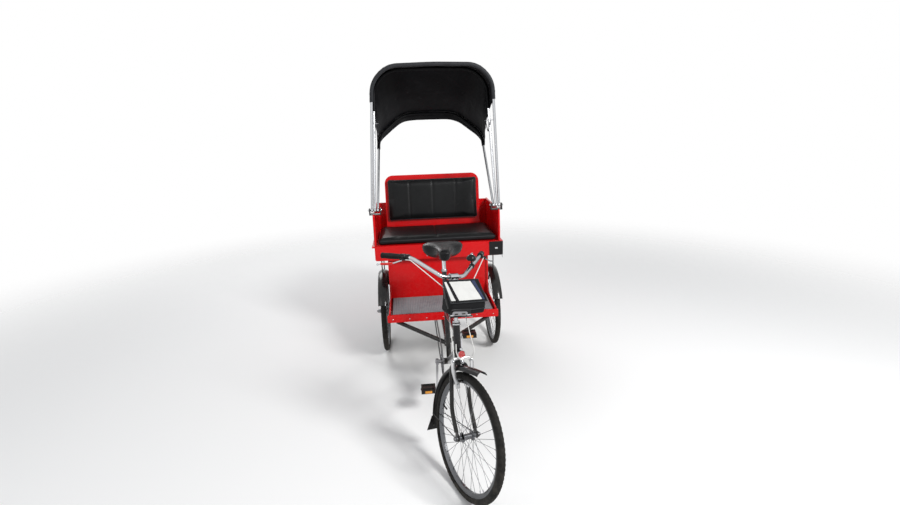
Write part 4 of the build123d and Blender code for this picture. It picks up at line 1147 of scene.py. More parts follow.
def make_bag():
    """A soft handlebar bag: its lid slopes forward and holds a clear sheet pocket under a strap."""
    rear = rear_of_bag()
    front = rear - 0.097
    base = BAR_CENTRE.z - 0.141
    half = 0.104
    form = bmesh.new()
    verts = bmesh.ops.create_cube(form, size=1)["verts"]
    for vert in verts:
        x, y, z = vert.co
        deep = front if y < 0 else rear
        high = base + (0.065 if y < 0 else 0.145) if z > 0 else base - (0.006 if y > 0 else 0.0)
        vert.co = Vector((half * 2 * x * 0.985, deep, high))
    bmesh.ops.bevel(
        form, geom=form.edges[:], offset=0.013, segments=3, profile=0.5, affect="EDGES", material=-1
    )
    bmesh.ops.subdivide_edges(form, edges=form.edges[:], cuts=3, use_grid_fill=True)
    middle = Vector((0, (front + rear) / 2, base + 0.05))
    for _ in range(6):
        bmesh.ops.smooth_vert(
            form, verts=form.verts, factor=0.4, use_axis_x=True, use_axis_y=True, use_axis_z=True
        )
    for vert in form.verts:
        off = vert.co - middle
        ripple = noise.noise(Vector((vert.co.x * 26, vert.co.y * 30, vert.co.z * 22))) * 0.0032
        vert.co += off.normalized() * (0.0015 + ripple)
        if vert.co.z < base + 0.03 and abs(vert.co.x) < half * 0.9:
            vert.co.z -= 0.0025 * cos(vert.co.x / half * pi / 2)
    steer(form)
    bag = shown("bag_shell", form, "steering", "bag_cloth", sharp=180, outward=True)
    smooth = bag.modifiers.new("smooth", "SUBSURF")
    smooth.levels = 1
    smooth.render_levels = 1
    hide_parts("handlebar_bag")
    # The lid's plane runs from the rear top edge down to the front one.
    top_rear = Vector((0, rear, base + 0.145))
    top_front = Vector((0, front, base + 0.065))
    slope = (top_front - top_rear).normalized()
    lift = slope.cross(ACROSS).normalized()
    if lift.z < 0:
        lift = -lift

    def on_lid(x, share, height):
        return top_rear + slope * ((top_front - top_rear).length * share) + Vector((x, 0, 0)) + lift * height

    def lid_strip(name, corners, finish_name, height, thick):
        strip = bmesh.new()
        strip.faces.new([strip.verts.new(on_lid(x, share, height)) for x, share in corners])
        bmesh.ops.subdivide_edges(strip, edges=strip.edges[:], cuts=5, use_grid_fill=True)
        for vert in strip.verts:
            vert.co += lift * 0.0022 * noise.noise(vert.co * 24)
        grown = bmesh.ops.extrude_face_region(strip, geom=strip.faces[:])["geom"]
        raised = [item for item in grown if isinstance(item, bmesh.types.BMVert)]
        bmesh.ops.translate(strip, verts=raised, vec=lift * thick)
        steer(strip)
        return shown(name, strip, "steering", "bag_cloth", finish_name, sharp=50, outward=True)

    lid_strip(
        "bag_lid", [(-0.110, -0.03), (0.098, -0.03), (0.104, 1.02), (-0.106, 1.02)], None, 0.0020, 0.0032
    )
    wide = [(-0.079, 0.05), (0.047, 0.05), (0.077, 0.93), (-0.056, 0.93)]
    lid_strip("bag_sheet_wide", wide, "clear_sleeve", 0.0056, 0.0012)
    narrow = [(-0.105, 0.05), (-0.093, 0.05), (-0.073, 0.93), (-0.101, 0.93)]
    lid_strip("bag_sheet_narrow", narrow, "clear_sleeve", 0.0056, 0.0012)
    strap = [(-0.094, -0.04), (-0.080, -0.04), (-0.055, 1.03), (-0.074, 1.03)]
    lid_strip("bag_strap", strap, None, 0.0062, 0.0022)
    blue = [(0.052, 0.04), (0.074, 0.04), (0.094, 0.94), (0.080, 0.94)]
    lid_strip("bag_blue_edge", blue, "blue_trim", 0.0056, 0.0014)
    form = bmesh.new()
    edge = [on_lid(x, share, 0.0045) for x, share in (
        (-0.104, -0.03), (0, -0.035), (0.092, -0.03), (0.098, 0.06), (0.101, 0.5), (0.104, 0.95),
        (0.097, 1.02),
        (0, 1.03), (-0.100, 1.02), (-0.106, 0.95), (-0.108, 0.5), (-0.110, 0.06))]
    looped = spline(edge + [edge[0]], 5)[:-1]
    add_pipe(form, looped, 0.0026, 8, closed=True)
    seam = [
        (-0.098, front - 0.003, base + 0.030), (0, front - 0.0055, base + 0.026),
        (0.098, front - 0.003, base + 0.030),
    ]
    add_pipe(form, spline(seam, 8), 0.0022, 8)
    steer(form)
    shown("bag_piping", form, "steering", "bag_cloth", "hem_tape", outward=True)
    form = bmesh.new()
    for sign in (-1, 1):
        x = sign * 0.1035
        band = [
            (x, rear - 0.012, base + 0.118), (x + sign * 0.0015, rear - 0.040, base + 0.080),
            (x, front + 0.02, base + 0.030),
        ]
        add_pipe(form, spline(band, 6), 0.010, 10, flatten=(ACROSS, 0.16))
        add_block(
            form, (x - 0.003, rear - 0.050, base + 0.066), (x + 0.003, rear - 0.026, base + 0.084), 0.002
        )
    steer(form)
    shown("bag_side_straps", form, "steering", "bag_cloth", "black_plastic", outward=True)
    return front, base


def make_bag_plate(front, base):
    """The silver plate with two slots low on the bag's front, its black backing and the buckles beside it."""
    form = bmesh.new()
    add_block(form, (-0.098, front - 0.0052, base - 0.012), (0.016, front + 0.018, base + 0.034), 0.005, 3)
    add_block(
        form, (-0.030, front + 0.010, base - 0.020), (0.030, rear_of_bag() - 0.010, base - 0.004), 0.004
    )
    steer(form)
    shown("bag_backing", form, "steering", "bag_cloth", "black_plastic", outward=True)
    form = bmesh.new()
    plate = bmesh.ops.create_circle(form, cap_ends=True, segments=32, radius=1)["verts"]
    for vert in plate:
        turn = atan2(vert.co.y, vert.co.x)
        flat = 0.032 * (1 if cos(turn) > 0 else -1)
        vert.co = Vector((0.012 * cos(turn) + flat - 0.004, 0, 0.011 * sin(turn)))
    bmesh.ops.inset_region(form, faces=form.faces[:], thickness=0.0030, depth=0.0012)
    grown = bmesh.ops.extrude_face_region(form, geom=form.faces[:])["geom"]
    raised = [item for item in grown if isinstance(item, bmesh.types.BMVert)]
    bmesh.ops.translate(form, verts=raised, vec=(0, -0.003, 0))
    place = Matrix.Translation((-0.046, front - 0.0065, base + 0.010)) @ Matrix.Rotation(radians(4), 4, "Y")
    bmesh.ops.transform(form, matrix=place, verts=form.verts)
    steer(form)
    shown("bag_plate", form, "steering", "steel", outward=True)
    form = bmesh.new()
    for x in (-0.071, -0.029):
        add_block(
            form, (x - 0.009, front - 0.0118, base + 0.0065), (x + 0.009, front - 0.0098, base + 0.0125),
            0.0008,
        )
    steer(form)
    shown("bag_plate_slots", form, "steering", "steel", "brake_rubber")
    form = bmesh.new()
    for x, z in ((-0.092, 0.004), (0.004, 0.001)):
        add_block(
            form, (x - 0.011, front - 0.0085, base + z - 0.004),
            (x + 0.011, front - 0.0050, base + z + 0.004), 0.0014,
        )
    steer(form)
    shown("bag_buckles", form, "steering", "steel", "chrome", outward=True)


def make_brake_fittings():
    """Long cast arms with blocks, their bolts, the bent cable guide, and the reflector's bright rim."""
    ahead = 0.026
    pad_rise = 0.320 - 0.040 - 0.006
    form = bmesh.new()
    for sign in (-1, 1):
        arm = [
            on_steerer(sign * -0.012, CROWN_RISE + 0.010, ahead + 0.010 + sign * 0.002),
            on_steerer(sign * 0.022, CROWN_RISE + 0.019, ahead + 0.012),
            on_steerer(sign * 0.053, CROWN_RISE + 0.010, ahead + 0.013),
            on_steerer(sign * 0.055, CROWN_RISE - 0.030, ahead + 0.013),
            on_steerer(sign * 0.046, CROWN_RISE - 0.072, ahead + 0.012),
            on_steerer(sign * 0.035, pad_rise - 0.004, ahead + 0.010),
            on_steerer(sign * 0.031, pad_rise - 0.032, ahead + 0.009),
        ]
        add_pipe(form, spline(arm, 6), lambda t: 0.0066 + 0.0056 * sin(min(t * 2.2, 1.75)), 16,
                 flatten=(HEAD_AHEAD, 0.45))
        add_bar(
            form, on_steerer(sign * 0.022, pad_rise, ahead),
            on_steerer(sign * 0.036, pad_rise, ahead + 0.009), 0.0042,
        )
    add_bar(
        form, on_steerer(0, CROWN_RISE, ahead + 0.018), on_steerer(0, CROWN_RISE, ahead - 0.012), 0.0042
    )
    steer(form)
    piece = shown("brake_arms", form, "steering", "steel", "cast_alloy", outward=True)
    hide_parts("front_brake")
    form = bmesh.new()
    guide = [
        on_steerer(-0.034, CROWN_RISE + 0.094, ahead + 0.020),
        on_steerer(-0.036, CROWN_RISE + 0.050, ahead + 0.024),
        on_steerer(-0.018, CROWN_RISE + 0.017, ahead + 0.026),
        on_steerer(0.020, CROWN_RISE + 0.014, ahead + 0.026),
        on_steerer(0.052, CROWN_RISE + 0.020, ahead + 0.022),
        on_steerer(0.062, CROWN_RISE + 0.004, ahead + 0.016),
    ]
    add_pipe(form, spline(guide, 8), 0.0025, 12)
    steer(form)
    piece = shown("brake_guide", form, "steering", "steel", "cable_cover", outward=True)
    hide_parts("front_brake")
    form = bmesh.new()
    for sign in (-1, 1):
        pad = on_steerer(sign * 0.020, pad_rise, ahead - 0.006)
        outward = (pad - Vector((sign * 0.020, 0, 0)) - STRAIGHT_AXLE).normalized()
        turn = Matrix((ACROSS, outward.cross(ACROSS), outward)).transposed().to_4x4()
        low, high = pad - Vector((0.0053, 0.0250, 0.0055)), pad + Vector((0.0042, 0.0250, 0.0055))
        if sign == 1:
            low, high = pad - Vector((0.0042, 0.0250, 0.0055)), pad + Vector((0.0053, 0.0250, 0.0055))
        add_block(form, low, high, 0.002, turn=turn)
    steer(form)
    shown("brake_blocks", form, "steering", "steel", "brake_rubber", outward=True)
    form = bmesh.new()
    add_bolt(form, on_steerer(0, CROWN_RISE + 0.002, ahead + 0.0175), HEAD_AHEAD, 0.012, 0.006)
    for sign in (-1, 1):
        add_bolt(
            form, on_steerer(sign * 0.054, CROWN_RISE + 0.008, ahead + 0.0175), HEAD_AHEAD, 0.009, 0.004
        )
        add_bolt(
            form, on_steerer(sign * 0.0335, pad_rise - 0.012, ahead + 0.0135), HEAD_AHEAD, 0.009, 0.004
        )
    steer(form)
    shown("brake_bolts", form, "steering", "steel", "chrome")
    lens = on_steerer(0, CROWN_RISE + 0.036, ahead + 0.004)
    form = bmesh.new()
    rim = [
        (-0.0005, 0.0200), (-0.0005, 0.0222), (0.0040, 0.0226), (0.0094, 0.0222), (0.0104, 0.0212),
        (0.0096, 0.0200),
    ]
    add_lathed(form, rim + [(0.0060, 0.0196)], lens, HEAD_AHEAD, 40)
    steer(form)
    shown("reflector_rim", form, "steering", "reflector", "chrome", outward=True)
    form = bmesh.new()
    top = on_steerer(0, CROWN_RISE + 0.064, ahead + 0.006)
    add_lathed(
        form, [(0, 0.0002), (0, 0.0075), (0.0060, 0.0085), (0.0105, 0.0060), (0.0118, 0.0002)], top,
        HEAD_AHEAD, 20,
    )
    add_bar(form, top, on_steerer(0, CROWN_RISE + 0.044, ahead + 0.006), 0.0028)
    steer(form)
    shown("reflector_nut", form, "steering", "chrome", outward=True)


def make_chain():
    """A roller chain: outer and inner plates in turn, with a roller at each pin."""
    front, rear = Vector((CHAIN_X, CRANK.y, CRANK.z)), Vector((CHAIN_X, REAR_AXLE.y, REAR_AXLE.z))
    big, small = RING_RADIUS + 0.0068, SPROCKET_RADIUS + 0.0068
    span = (rear - front).length
    heading = atan2(rear.z - front.z, rear.y - front.y)
    spread = acos((big - small) / span)
    straight = sqrt(span**2 - (big - small) ** 2)
    wraps = [(2 * pi - 2 * spread) * big, straight, 2 * spread * small, straight]
    whole = sum(wraps)
    count = 2 * round(whole / CHAIN_PITCH / 2)
    pitch = whole / count

    def on_loop(length):
        length %= whole
        for part, size in enumerate(wraps):
            if length <= size:
                break
            length -= size
        if part == 0:
            turn = heading + spread + length / big
            return front + Vector((0, cos(turn), sin(turn))) * big
        if part == 2:
            turn = heading - spread + length / small
            return rear + Vector((0, cos(turn), sin(turn))) * small
        edge = heading - spread if part == 1 else heading + spread
        out = Vector((0, cos(edge), sin(edge)))
        start, end = (front + out * big, rear + out * small) if part == 1 else (
            rear + out * small, front + out * big
        )
        return start + (end - start) * (length / straight)

    form = bmesh.new()
    for index in range(count):
        start, end = on_loop(index * pitch), on_loop((index + 1) * pitch)
        along = (end - start).normalized()
        turn = Matrix((ACROSS, along, ACROSS.cross(along))).transposed().to_4x4()
        wide = 0.0032 if index % 2 else 0.0020
        for sign in (-1, 1):
            place = Matrix.Translation((start + end) / 2 + ACROSS * sign * wide) @ turn
            plate = bmesh.ops.create_circle(
                form, cap_ends=True, segments=10, radius=0.0042, matrix=Matrix.Rotation(pi / 2, 4, "Y")
            )
            for vert in plate["verts"]:
                vert.co.y += 0.0060 if vert.co.y > 0.0001 else -0.0060 if vert.co.y < -0.0001 else 0
            faces = list({face for vert in plate["verts"] for face in vert.link_faces})
            grown = bmesh.ops.extrude_face_region(form, geom=faces)["geom"]
            raised = [item for item in grown if isinstance(item, bmesh.types.BMVert)]
            bmesh.ops.translate(form, verts=raised, vec=(0.0009, 0, 0))
            bmesh.ops.transform(form, matrix=place, verts=plate["verts"] + raised)
        add_bar(form, start - ACROSS * 0.0042, start + ACROSS * 0.0042, 0.0032, sides=8)
    bmesh.ops.recalc_face_normals(form, faces=form.faces)
    piece = shown("chain_links", form, "root", "steel")
    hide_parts("chain")


def make_pedal_fittings():
    """Amber reflectors on the pedals' ends, their caps, and the crank arms' bolts."""
    tilt = radians(38)
    for name, sign in (("right", -1), ("left", 1)):
        centre = CRANK + (Vector((0, sin(tilt), cos(tilt))) * CRANK_LENGTH + ACROSS * PEDAL_X) * sign
        form = bmesh.new()
        for end in (-1, 1):
            add_block(
                form, centre + Vector((-0.022, end * 0.0428 - 0.0022, -0.0085)),
                centre + Vector((0.022, end * 0.0428 + 0.0022, 0.0085)), 0.0016,
            )
        shown(f"pedal_lens_{name}", form, f"pedal_{name}", "reflector", "amber_lens", outward=True)
        form = bmesh.new()
        for along in range(7):
            for end in (-1, 1):
                place = centre + Vector((-0.036 + 0.012 * along, end * 0.0375, 0))
                for side in (-1, 1):
                    tip = place + UP * side * 0.0118
                    add_bar(form, tip, tip + UP * side * 0.0022, 0.0022, 0.0014, 8)
        add_dome(form, centre + Vector((sign * 0.046, 0, 0)), ACROSS * sign, 0.0085, 0.004, 20)
        shown(f"pedal_studs_{name}", form, f"pedal_{name}", "black_plastic", outward=True)
    form = bmesh.new()
    for sign in (-1, 1):
        add_bolt(form, CRANK + Vector((sign * 0.0886, 0, 0)), ACROSS * sign, 0.017, 0.003)
    for index in range(5):
        turn = radians(72 * index + 36)
        place = CRANK + Vector((CHAIN_X - 0.0022, cos(turn) * 0.046, sin(turn) * 0.046))
        add_bolt(form, place, -ACROSS, 0.009, 0.0025)
    shown("crank_bolts", form, "crank", "steel", "chrome", outward=True)


# Cabin


def make_panel_trims():
    """Rolled red rims along the armrests, screws on the red panels and metal strips on the floor mat, as they are
    put together.
    """
    deck_low = DECK_TOP - PANEL
    form = bmesh.new()
    for sign in (-1, 1):
        x = sign * (SIDE_OUT - PANEL / 2)
        rim = [
            (x, SEAT_FRONT - 0.044, DECK_TOP + 0.004), (x, SEAT_FRONT - 0.044, DECK_TOP + 0.100),
            (x, SEAT_FRONT - 0.041, DECK_TOP + 0.114), (x, PIVOT.y - 0.046, SIDE_RIM - 0.012),
            (x, PIVOT.y - 0.034, SIDE_RIM + 0.001),
        ]
        add_pipe(form, spline(rim, 5), 0.0082, 12)
        add_pipe(
            form, [(x, PIVOT.y + 0.030, SIDE_RIM + 0.001), (x, BODY_REAR - 0.014, SIDE_RIM + 0.001)],
            0.0082, 12,
        )
    shown("armrest_rims", form, "root", "red_panel", outward=True)
    form = bmesh.new()
    front = DECK_FRONT - 0.0002
    for index in range(6):
        x = -0.44 + 0.176 * index
        if x < 0.38:
            add_dome(form, (x, front, deck_low - 0.080), (0, -1, 0), 0.0048, 0.0022, 16)
    for index in range(7):
        x = -0.372 + 0.124 * index
        add_dome(form, (x, BODY_FRONT, RAIL_TOP - 0.012), (0, -1, 0), 0.0046, 0.0022, 16)
    for sign in (-1, 1):
        for y in (
            SEAT_FRONT - 0.33, SEAT_FRONT - 0.20, SEAT_FRONT + 0.06, SEAT_FRONT + 0.24, SEAT_FRONT + 0.42
        ):
            add_dome(
                form, (sign * (FLOOR_HALF + 0.0001), y, RAIL_TOP + 0.024), (sign, 0, 0), 0.0046, 0.0022, 16
            )
        for y in (SEAT_FRONT + 0.05, SEAT_FRONT + 0.25, SEAT_FRONT + 0.45):
            add_dome(
                form, (sign * (SIDE_OUT + 0.0001), y, DECK_TOP + 0.020), (sign, 0, 0), 0.0046, 0.0022, 16
            )
        for z in (DECK_TOP + 0.05, DECK_TOP + 0.13, DECK_TOP + 0.21):
            add_dome(form, (sign * 0.470, BODY_REAR, z), (0, 1, 0), 0.0046, 0.0022, 16)
        for z in (RAIL_TOP + 0.06, RAIL_TOP + 0.22, RAIL_TOP + 0.38):
            add_dome(form, (sign * 0.380, BODY_REAR, z), (0, 1, 0), 0.0046, 0.0022, 16)
    shown("panel_screws", form, "root", "steel", "chrome", outward=True)
    form = bmesh.new()
    side, end, front, z = FLOOR_HALF - 0.020, FLOOR_HALF - 0.030, BODY_FRONT + 0.020, RAIL_TOP + 0.017
    strips = [[(x, front, z), (x, SEAT_FRONT - 0.02, z)] for x in (-side, side)]
    strips.append([(-end, front + 0.0015, z), (end, front + 0.0015, z)])
    for strip in strips:
        add_pipe(form, strip, 0.006, 10, flatten=(UP, 0.6))
    shown("mat_strips", form, "root", "steel", "bow_tube", outward=True)


def make_plate_fittings():
    """The blank plate's silver slot and its thin pin."""
    y = DECK_FRONT - 0.0046
    form = bmesh.new()
    add_block(form, (0.448, y - 0.0022, 0.872), (0.470, y, 0.884), 0.0012)
    add_bar(form, (0.506, y + 0.001, 0.826), (0.509, y + 0.001, 0.798), 0.0026)
    shown("plate_slot", form, "root", "steel", "chrome", outward=True)


def make_hood_fittings():
    """Domed nuts at the hood's pivots and bolts in its brackets."""
    form = bmesh.new()
    for sign in (-1, 1):
        for x, way in ((0.517, 1), (0.427, -1)):
            place = PIVOT + Vector((sign * x, 0, 0))
            add_bar(
                form, place - ACROSS * sign * way * 0.0004, place + ACROSS * sign * way * 0.002, 0.0135,
                sides=24,
            )
            add_dome(form, place + ACROSS * sign * way * 0.002, ACROSS * sign * way, 0.0085, 0.0075, 20)
        for y in (-0.020, 0.020):
            add_bolt(form, Vector((sign * 0.4990, PIVOT.y + y, SIDE_RIM + 0.005)), UP, 0.009, 0.004)
    shown("hood_pivot_nuts", form, "root", "steel", "chrome", outward=True)


def make_under_fittings():
    """Bearing bolts and grease nipples at the axle blocks, and plugs in the rails' ends."""
    form = bmesh.new()
    for sign in (-1, 1):
        for y in (-0.031, 0.031):
            for way in (-1, 1):
                place = Vector((sign * RAIL_X + way * 0.0140, REAR_AXLE.y + y * 0.9, RAIL_TOP - 0.060))
                add_bolt(form, place, ACROSS * way, 0.014, 0.006)
        add_dome(form, (sign * RAIL_X, REAR_AXLE.y, REAR_AXLE.z - 0.032), -UP, 0.0045, 0.006, 14)
    shown("axle_block_bolts", form, "root", "steel", outward=True)
    form = bmesh.new()
    for sign in (-1, 1):
        x = sign * RAIL_X
        low = (x - 0.0165, BODY_REAR - 0.0142, RAIL_TOP - 0.0345)
        add_block(form, low, (x + 0.0165, BODY_REAR - 0.0125, RAIL_TOP - 0.0015), 0.002)
    shown("rail_plugs", form, "root", "black_plastic", outward=True)


# Hood


def leg_x(bow, height):
    _, top, foot, drop, _, _, _ = BOWS[bow]
    return foot - (foot - BOW_HALF) * height / (top - drop)


def rounded(corners, bends, count):
    """Evenly spaced points along straight runs joined by arcs."""
    line = [Vector(corners[0])]
    for before, corner, after, bend in zip(corners, corners[1:], corners[2:], bends):
        back = (Vector(before) - Vector(corner)).normalized()
        on = (Vector(after) - Vector(corner)).normalized()
        half_turn = (pi - back.angle(on)) / 2
        centre = Vector(corner) + (back + on).normalized() * (bend / cos(half_turn))
        start = Vector(corner) + back * bend * tan(half_turn) - centre
        end = Vector(corner) + on * bend * tan(half_turn) - centre
        for step in range(9):
            line.append(centre + start.slerp(end, step / 8) * bend)
    line.append(Vector(corners[-1]))
    lengths = [0]
    for a, b in zip(line, line[1:]):
        lengths.append(lengths[-1] + (b - a).length)
    points = []
    part = 0
    for index in range(count):
        wanted = lengths[-1] * index / (count - 1)
        while part < len(line) - 2 and lengths[part + 1] < wanted:
            part += 1
        share = (wanted - lengths[part]) / max(lengths[part + 1] - lengths[part], 1e-9)
        points.append(line[part].lerp(line[part + 1], min(max(share, 0), 1)))
    return points


def bow_line(bow, hem, count, grow=0.0):
    """Points along a bow from hem to hem, at a distance outside its tube's middle."""
    angle, top, _, drop, inset, bend, _ = BOWS[bow]
    half = [(leg_x(bow, hem), hem), (BOW_HALF, top - drop), (BOW_HALF - inset, top - BOW_CROWN)]
    corners = [Vector((-x, y, 0)) for x, y in half] + [Vector((0, top, 0))]
    corners += [Vector((x, y, 0)) for x, y in reversed(half)]
    flat = rounded(corners, [bend, bend, CROWN_BEND, bend, bend], count)
    line = []
    for index, point in enumerate(flat):
        along = (flat[min(index + 1, count - 1)] - flat[max(index - 1, 0)]).normalized()
        moved = point + Vector((-along.y, along.x, 0)) * grow
        line.append(PIVOT + Vector((moved.x, moved.y * sin(angle), moved.y * cos(angle))))
    return line


def cloth_grid(form, count, cross, place):
    """A grid of cloth whose points are placed by how far along and across they lie."""
    bmesh.ops.create_grid(form, x_segments=count - 1, y_segments=cross - 1, size=0.5)
    for vert in form.verts:
        vert.co = place(vert.co.x + 0.5, vert.co.y + 0.5)


def between(line, share):
    """The point at a share of a line of evenly spaced points."""
    place = share * (len(line) - 1)
    index = min(int(place), len(line) - 2)
    return line[index].lerp(line[index + 1], place - index)


def make_canopy(name, node, ahead, behind, hems, sag):
    """One sheet over two bows: taut along them, with a slack belly and small gathers between."""
    count, cross = 150, 19
    line_a = bow_line(ahead, hems[0], count, 0.0128)
    line_b = bow_line(behind, hems[1], count, 0.0128)
    heart = PIVOT + Vector((0, 0.05, 0.5))
    form = bmesh.new()

    def place(u, v):
        a, b = between(line_a, u), between(line_b, u)
        flat = a.lerp(b, v)
        inward = heart - flat
        inward.y = 0
        inward.normalize()
        belly = 4 * v * (1 - v)
        side = abs(u - 0.5) * 2
        gather = noise.noise(Vector((u * 34, v * 2.2, 1.7))) * 0.0030 * (0.3 + side)
        slack = noise.noise(Vector((u * 7, v * 3.0, 5.2))) * 0.0050
        edge = max(0, side - 0.93) / 0.07
        flutter = noise.noise(Vector((u * 3, v * 9.0, 9.1))) * 0.006 * edge
        return flat + inward * (
            sag * belly * (0.8 + 0.5 * side) + (gather + slack + flutter) * min(1, belly * 2.2)
        )

    cloth_grid(form, count, cross, place)
    bmesh.ops.recalc_face_normals(form, faces=form.faces)
    middle_face = min(
        form.faces, key=lambda face: (face.calc_center_median() - (PIVOT + Vector((0, 0, 1.05)))).length
    )
    if middle_face.normal.z < 0:
        bmesh.ops.reverse_faces(form, faces=form.faces)
    area = sum(face.calc_area() for face in form.faces)
    piece = shown(name, form, None, "hood_vinyl", sharp=180, blended=True)
    thick = piece.modifiers.new("thickness", "SOLIDIFY")
    thick.thickness = CLOTH
    thick.offset = 1.0
    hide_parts(node)
    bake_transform(piece)
    return line_a, line_b


def make_sleeves():
    """Cloth pockets round the bows, closed by a line of lacing eyelets at their corners."""
    for bow, radius, finish_name in (
        ("front", 0.0132, "hem_tape"), ("middle", 0.0124, None), ("rear", 0.0124, None)
    ):
        hem = BOWS[bow][6]
        form = bmesh.new()
        line = bow_line(bow, hem, 130)

        def girth(t, radius=radius):
            return radius * (1 + 0.05 * noise.noise(Vector((t * 60, 3.3, 0)))) if 0 < t < 1 else radius * 1.04

        add_pipe(form, line, girth, 16)
        shown(f"bow_sleeve_{bow}", form, f"hood_{bow}", "hood_vinyl", finish_name, sharp=60, outward=True)
    for bow, lift in (("front", 0.0006), ("middle", 0.0016)):
        form = bmesh.new()
        line = bow_line(bow, BOWS[bow][6], 90, 0.0134)
        core = bow_line(bow, BOWS[bow][6], 90)
        for index in (4, 16, 19, 22, 67, 70, 73, 85):
            out = (line[index] - core[index]).normalized()
            rings = [(0.0, 0.0022), (0.0008, 0.0022), (0.0014, 0.0034), (0.0008, 0.0048), (0.0, 0.0050)]
            add_lathed(form, rings, line[index] + out * lift, out, 14)
        shown(f"hood_eyelets_{bow}", form, f"hood_{bow}", "steel", "chrome", outward=True)


def make_valance():
    """A strip of the hood's cloth that hangs behind the rear bow, lowest in the middle."""
    count, cross = 110, 7
    line = bow_line("rear", 0.60, count, 0.0)
    form = bmesh.new()
    back = Vector((0, cos(BOWS["rear"][0]), -sin(BOWS["rear"][0])))

    def place(u, v):
        spot = between(line, u)
        side = abs(u - 0.5) * 2
        drop = 0.024 * max(0.0, 1 - side**3) + 0.013 * min(1.0, (1 - side) * 9 + 0.02)
        wave = noise.noise(Vector((u * 18, v * 1.5, 2.2))) * 0.004 * v
        return spot + back * (0.0135 + wave) - UP * drop * v

    cloth_grid(form, count, cross, place)
    area = sum(face.calc_area() for face in form.faces)
    bmesh.ops.recalc_face_normals(form, faces=form.faces)
    piece = shown("hood_valance", form, "hood_rear", "hood_vinyl", sharp=180)
    thick = piece.modifiers.new("thickness", "SOLIDIFY")
    thick.thickness = CLOTH
    form = bmesh.new()
    edge = [place(k / 60, 1.0) for k in range(61)]
    add_pipe(form, edge, 0.0022, 8)
    shown("valance_hem", form, "hood_rear", "hood_vinyl", "hem_tape", outward=True)


def make_hood():
    make_canopy(
        "hood_sheet_front", "hood_roof_front", "front", "middle", (0.797, 0.740), 0.006,
    )
    make_canopy(
        "hood_sheet_rear", "hood_roof_rear", "middle", "rear", (0.740, 0.560), 0.010,
    )
    make_sleeves()
    make_valance()


# Seats


def inflate(name, form, pressure, cap, voxel):
    """Swells a closed form as cloth under pressure, and returns its mesh with no simulation left on it."""
    mesh = bpy.data.meshes.new(name)
    form.to_mesh(mesh)
    form.free()
    piece = bpy.data.objects.new(name, mesh)
    bpy.context.collection.objects.link(piece)
    bpy.context.view_layer.objects.active = piece
    piece.select_set(True)
    remesh = piece.modifiers.new("remesh", "REMESH")
    remesh.mode = "VOXEL"
    remesh.voxel_size = voxel
    bpy.ops.object.modifier_apply(modifier=remesh.name)
    before = [vert.co.copy() for vert in piece.data.vertices]
    cloth = piece.modifiers.new("cloth", "CLOTH")
    cloth.settings.use_pressure = True
    cloth.settings.uniform_pressure_force = pressure
    cloth.settings.effector_weights.gravity = 0
    cloth.point_cache.frame_start = 1
    cloth.point_cache.frame_end = 20
    for step in range(1, 21):
        bpy.context.scene.frame_set(step)
    bpy.ops.object.modifier_apply(modifier=cloth.name)
    bpy.context.scene.frame_set(1)
    for vert, start in zip(piece.data.vertices, before):
        moved = vert.co - start
        if moved.length > cap:
            vert.co = start + moved * (cap / moved.length)
    piece.select_set(False)
    mesh = piece.data
    bpy.data.objects.remove(piece)
    form = bmesh.new()
    form.from_mesh(mesh)
    for _ in range(2):
        bmesh.ops.smooth_vert(
            form, verts=form.verts, factor=0.5, use_axis_x=True, use_axis_y=True, use_axis_z=True
        )
    return form


def pad_form(size, rounding):
    """A flat rounded block to be swollen into a cushion, about its own middle."""
    form = bmesh.new()
    bmesh.ops.create_cube(form, size=1, matrix=Matrix.Diagonal((*size, 1)))
    bmesh.ops.bevel(
        form, geom=form.edges[:], offset=rounding, segments=4, profile=0.5, affect="EDGES", material=-1,
        clamp_overlap=True,
    )
    return form


def sew(form, seams, depth, width, top_only=True):
    """Presses sewn channels into a pad's upper face, along lines of x or y that each run a given way."""
    for vert in form.verts:
        if top_only and vert.normal.z < 0.25:
            continue
        x, y, _ = vert.co
        press = 0
        for axis, value, low, high in seams:
            off = (x if axis == "x" else y) - value
            run = y if axis == "x" else x
            if low <= run <= high:
                press += exp(-(off / width) ** 2)
        vert.co.z -= depth * min(press, 1.0)


def outline_on(form, half_x, half_y, height, round_by, count=120):
    """The rounded outline of a pad at a height, laid onto its surface, for the piping."""
    tree = BVHTree.FromBMesh(form)
    corners = [(-half_x, -half_y + round_by), (-half_x, half_y), (half_x, half_y), (half_x, -half_y)]
    corners += [(-half_x, -half_y), (-half_x, -half_y + round_by * 0.999)]
    bends = [round_by] * 3 + [round_by * 0.9]
    flat = rounded([Vector((x, y, 0)) for x, y in corners], bends, count)
    points = []
    for point in flat[:-1]:
        wanted = Vector((point.x * 1.03, point.y * 1.05, height))
        found = tree.find_nearest(wanted)
        points.append(found[0] if found[0] else wanted)
    return points


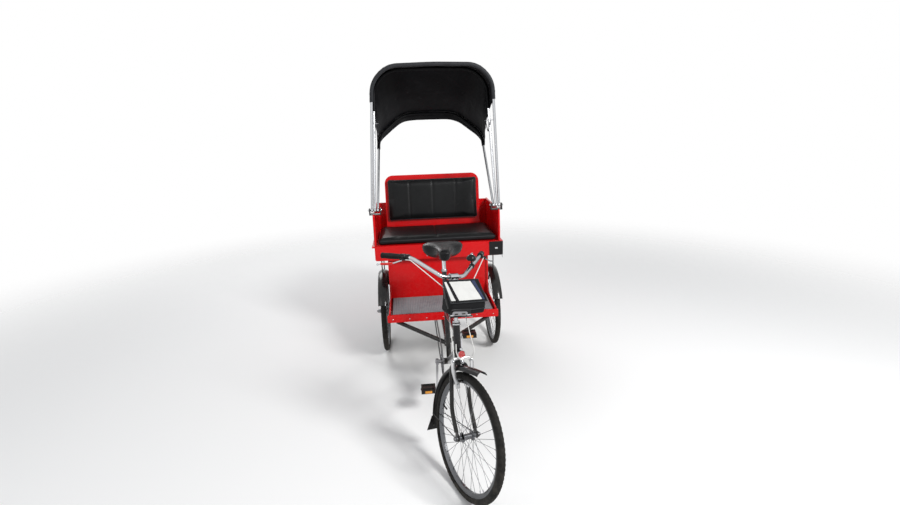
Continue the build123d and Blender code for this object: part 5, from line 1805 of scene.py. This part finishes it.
def make_cushion(name, node, size, pressure, cap, seams, place, piping_height, flat_below):
    form = inflate(f"{name}_form", pad_form(size, min(0.016, size[2] * 0.42)), pressure, cap, 0.0072)
    for vert in form.verts:
        vert.co.z = max(vert.co.z, flat_below)
    form.normal_update()
    sew(form, seams, 0.0055, 0.0065)
    outline = outline_on(form, size[0] / 2, size[1] / 2, piping_height, 0.045)
    bmesh.ops.transform(form, matrix=place, verts=form.verts)
    piece = shown(name, form, "root", "seat_vinyl", sharp=180)
    smooth = piece.modifiers.new("smooth", "SUBSURF")
    smooth.levels = 1
    smooth.render_levels = 1
    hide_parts(node)
    form = bmesh.new()
    add_pipe(form, [place @ point for point in outline], 0.0034, 8, closed=True)
    shown(f"{name}_piping", form, "root", "seat_vinyl", "hem_tape", outward=True)
    return piece


def make_seats():
    low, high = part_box("seat_cushion")
    size = (high.x - low.x - 0.012, high.y - low.y - 0.012, high.z - low.z - 0.020)
    middle = (low + high) / 2
    half_y = size[1] / 2
    seams = [("x", 0.0, -half_y + 0.03, half_y - 0.03)]
    place = Matrix.Translation((middle.x, middle.y, low.z + size[2] / 2 + 0.004))
    make_cushion(
        "seat_pad", "seat_cushion", size, 4.0, 0.014, seams, place, size[2] * 0.30, -size[2] / 2 - 0.0035
    )
    tall = BACK_TOP - DECK_TOP
    high_pad = tall - CUSHION - 0.050
    leaning = Matrix.Translation((0, BACK_FOOT, DECK_TOP)) @ Matrix.Rotation(
        radians(90) - BACK_LEAN, 4, "X"
    )
    size = (2 * BACK_HALF - 0.034, high_pad - 0.010, BACK_CUSHION - 0.018)
    place = leaning @ Matrix.Translation((0, (tall + CUSHION) / 2, 0.0005 + size[2] / 2 + 0.003))
    half_y = size[1] / 2
    seams = [("x", -0.20, -half_y + 0.02, half_y - 0.02), ("x", 0.0, -half_y + 0.02, half_y - 0.02),
             ("x", 0.20, -half_y + 0.02, half_y - 0.02)]
    make_cushion(
        "back_pad", "back_cushion", size, 4.0, 0.013, seams, place, size[2] * 0.30, -size[2] / 2 - 0.0025
    )


# Build the scene

make_camera()
make_lights()
make_floor()
finish_nodes()
for tyre, (body, centre, axle, rim) in WHEELS.items():
    make_tyre(tyre, body, centre, axle, rim)
    make_wheel_trim(tyre.replace("tyre", "wheel"), body, centre, axle, rim)
make_axle_nuts()
make_grips()
make_levers()
make_bell()
make_head_fittings()
make_frame_fittings()
make_saddle()
make_bag_plate(*make_bag())
make_brake_fittings()
make_chain()
make_pedal_fittings()
make_panel_trims()
make_plate_fittings()
make_hood_fittings()
make_under_fittings()
make_hood()
make_seats()
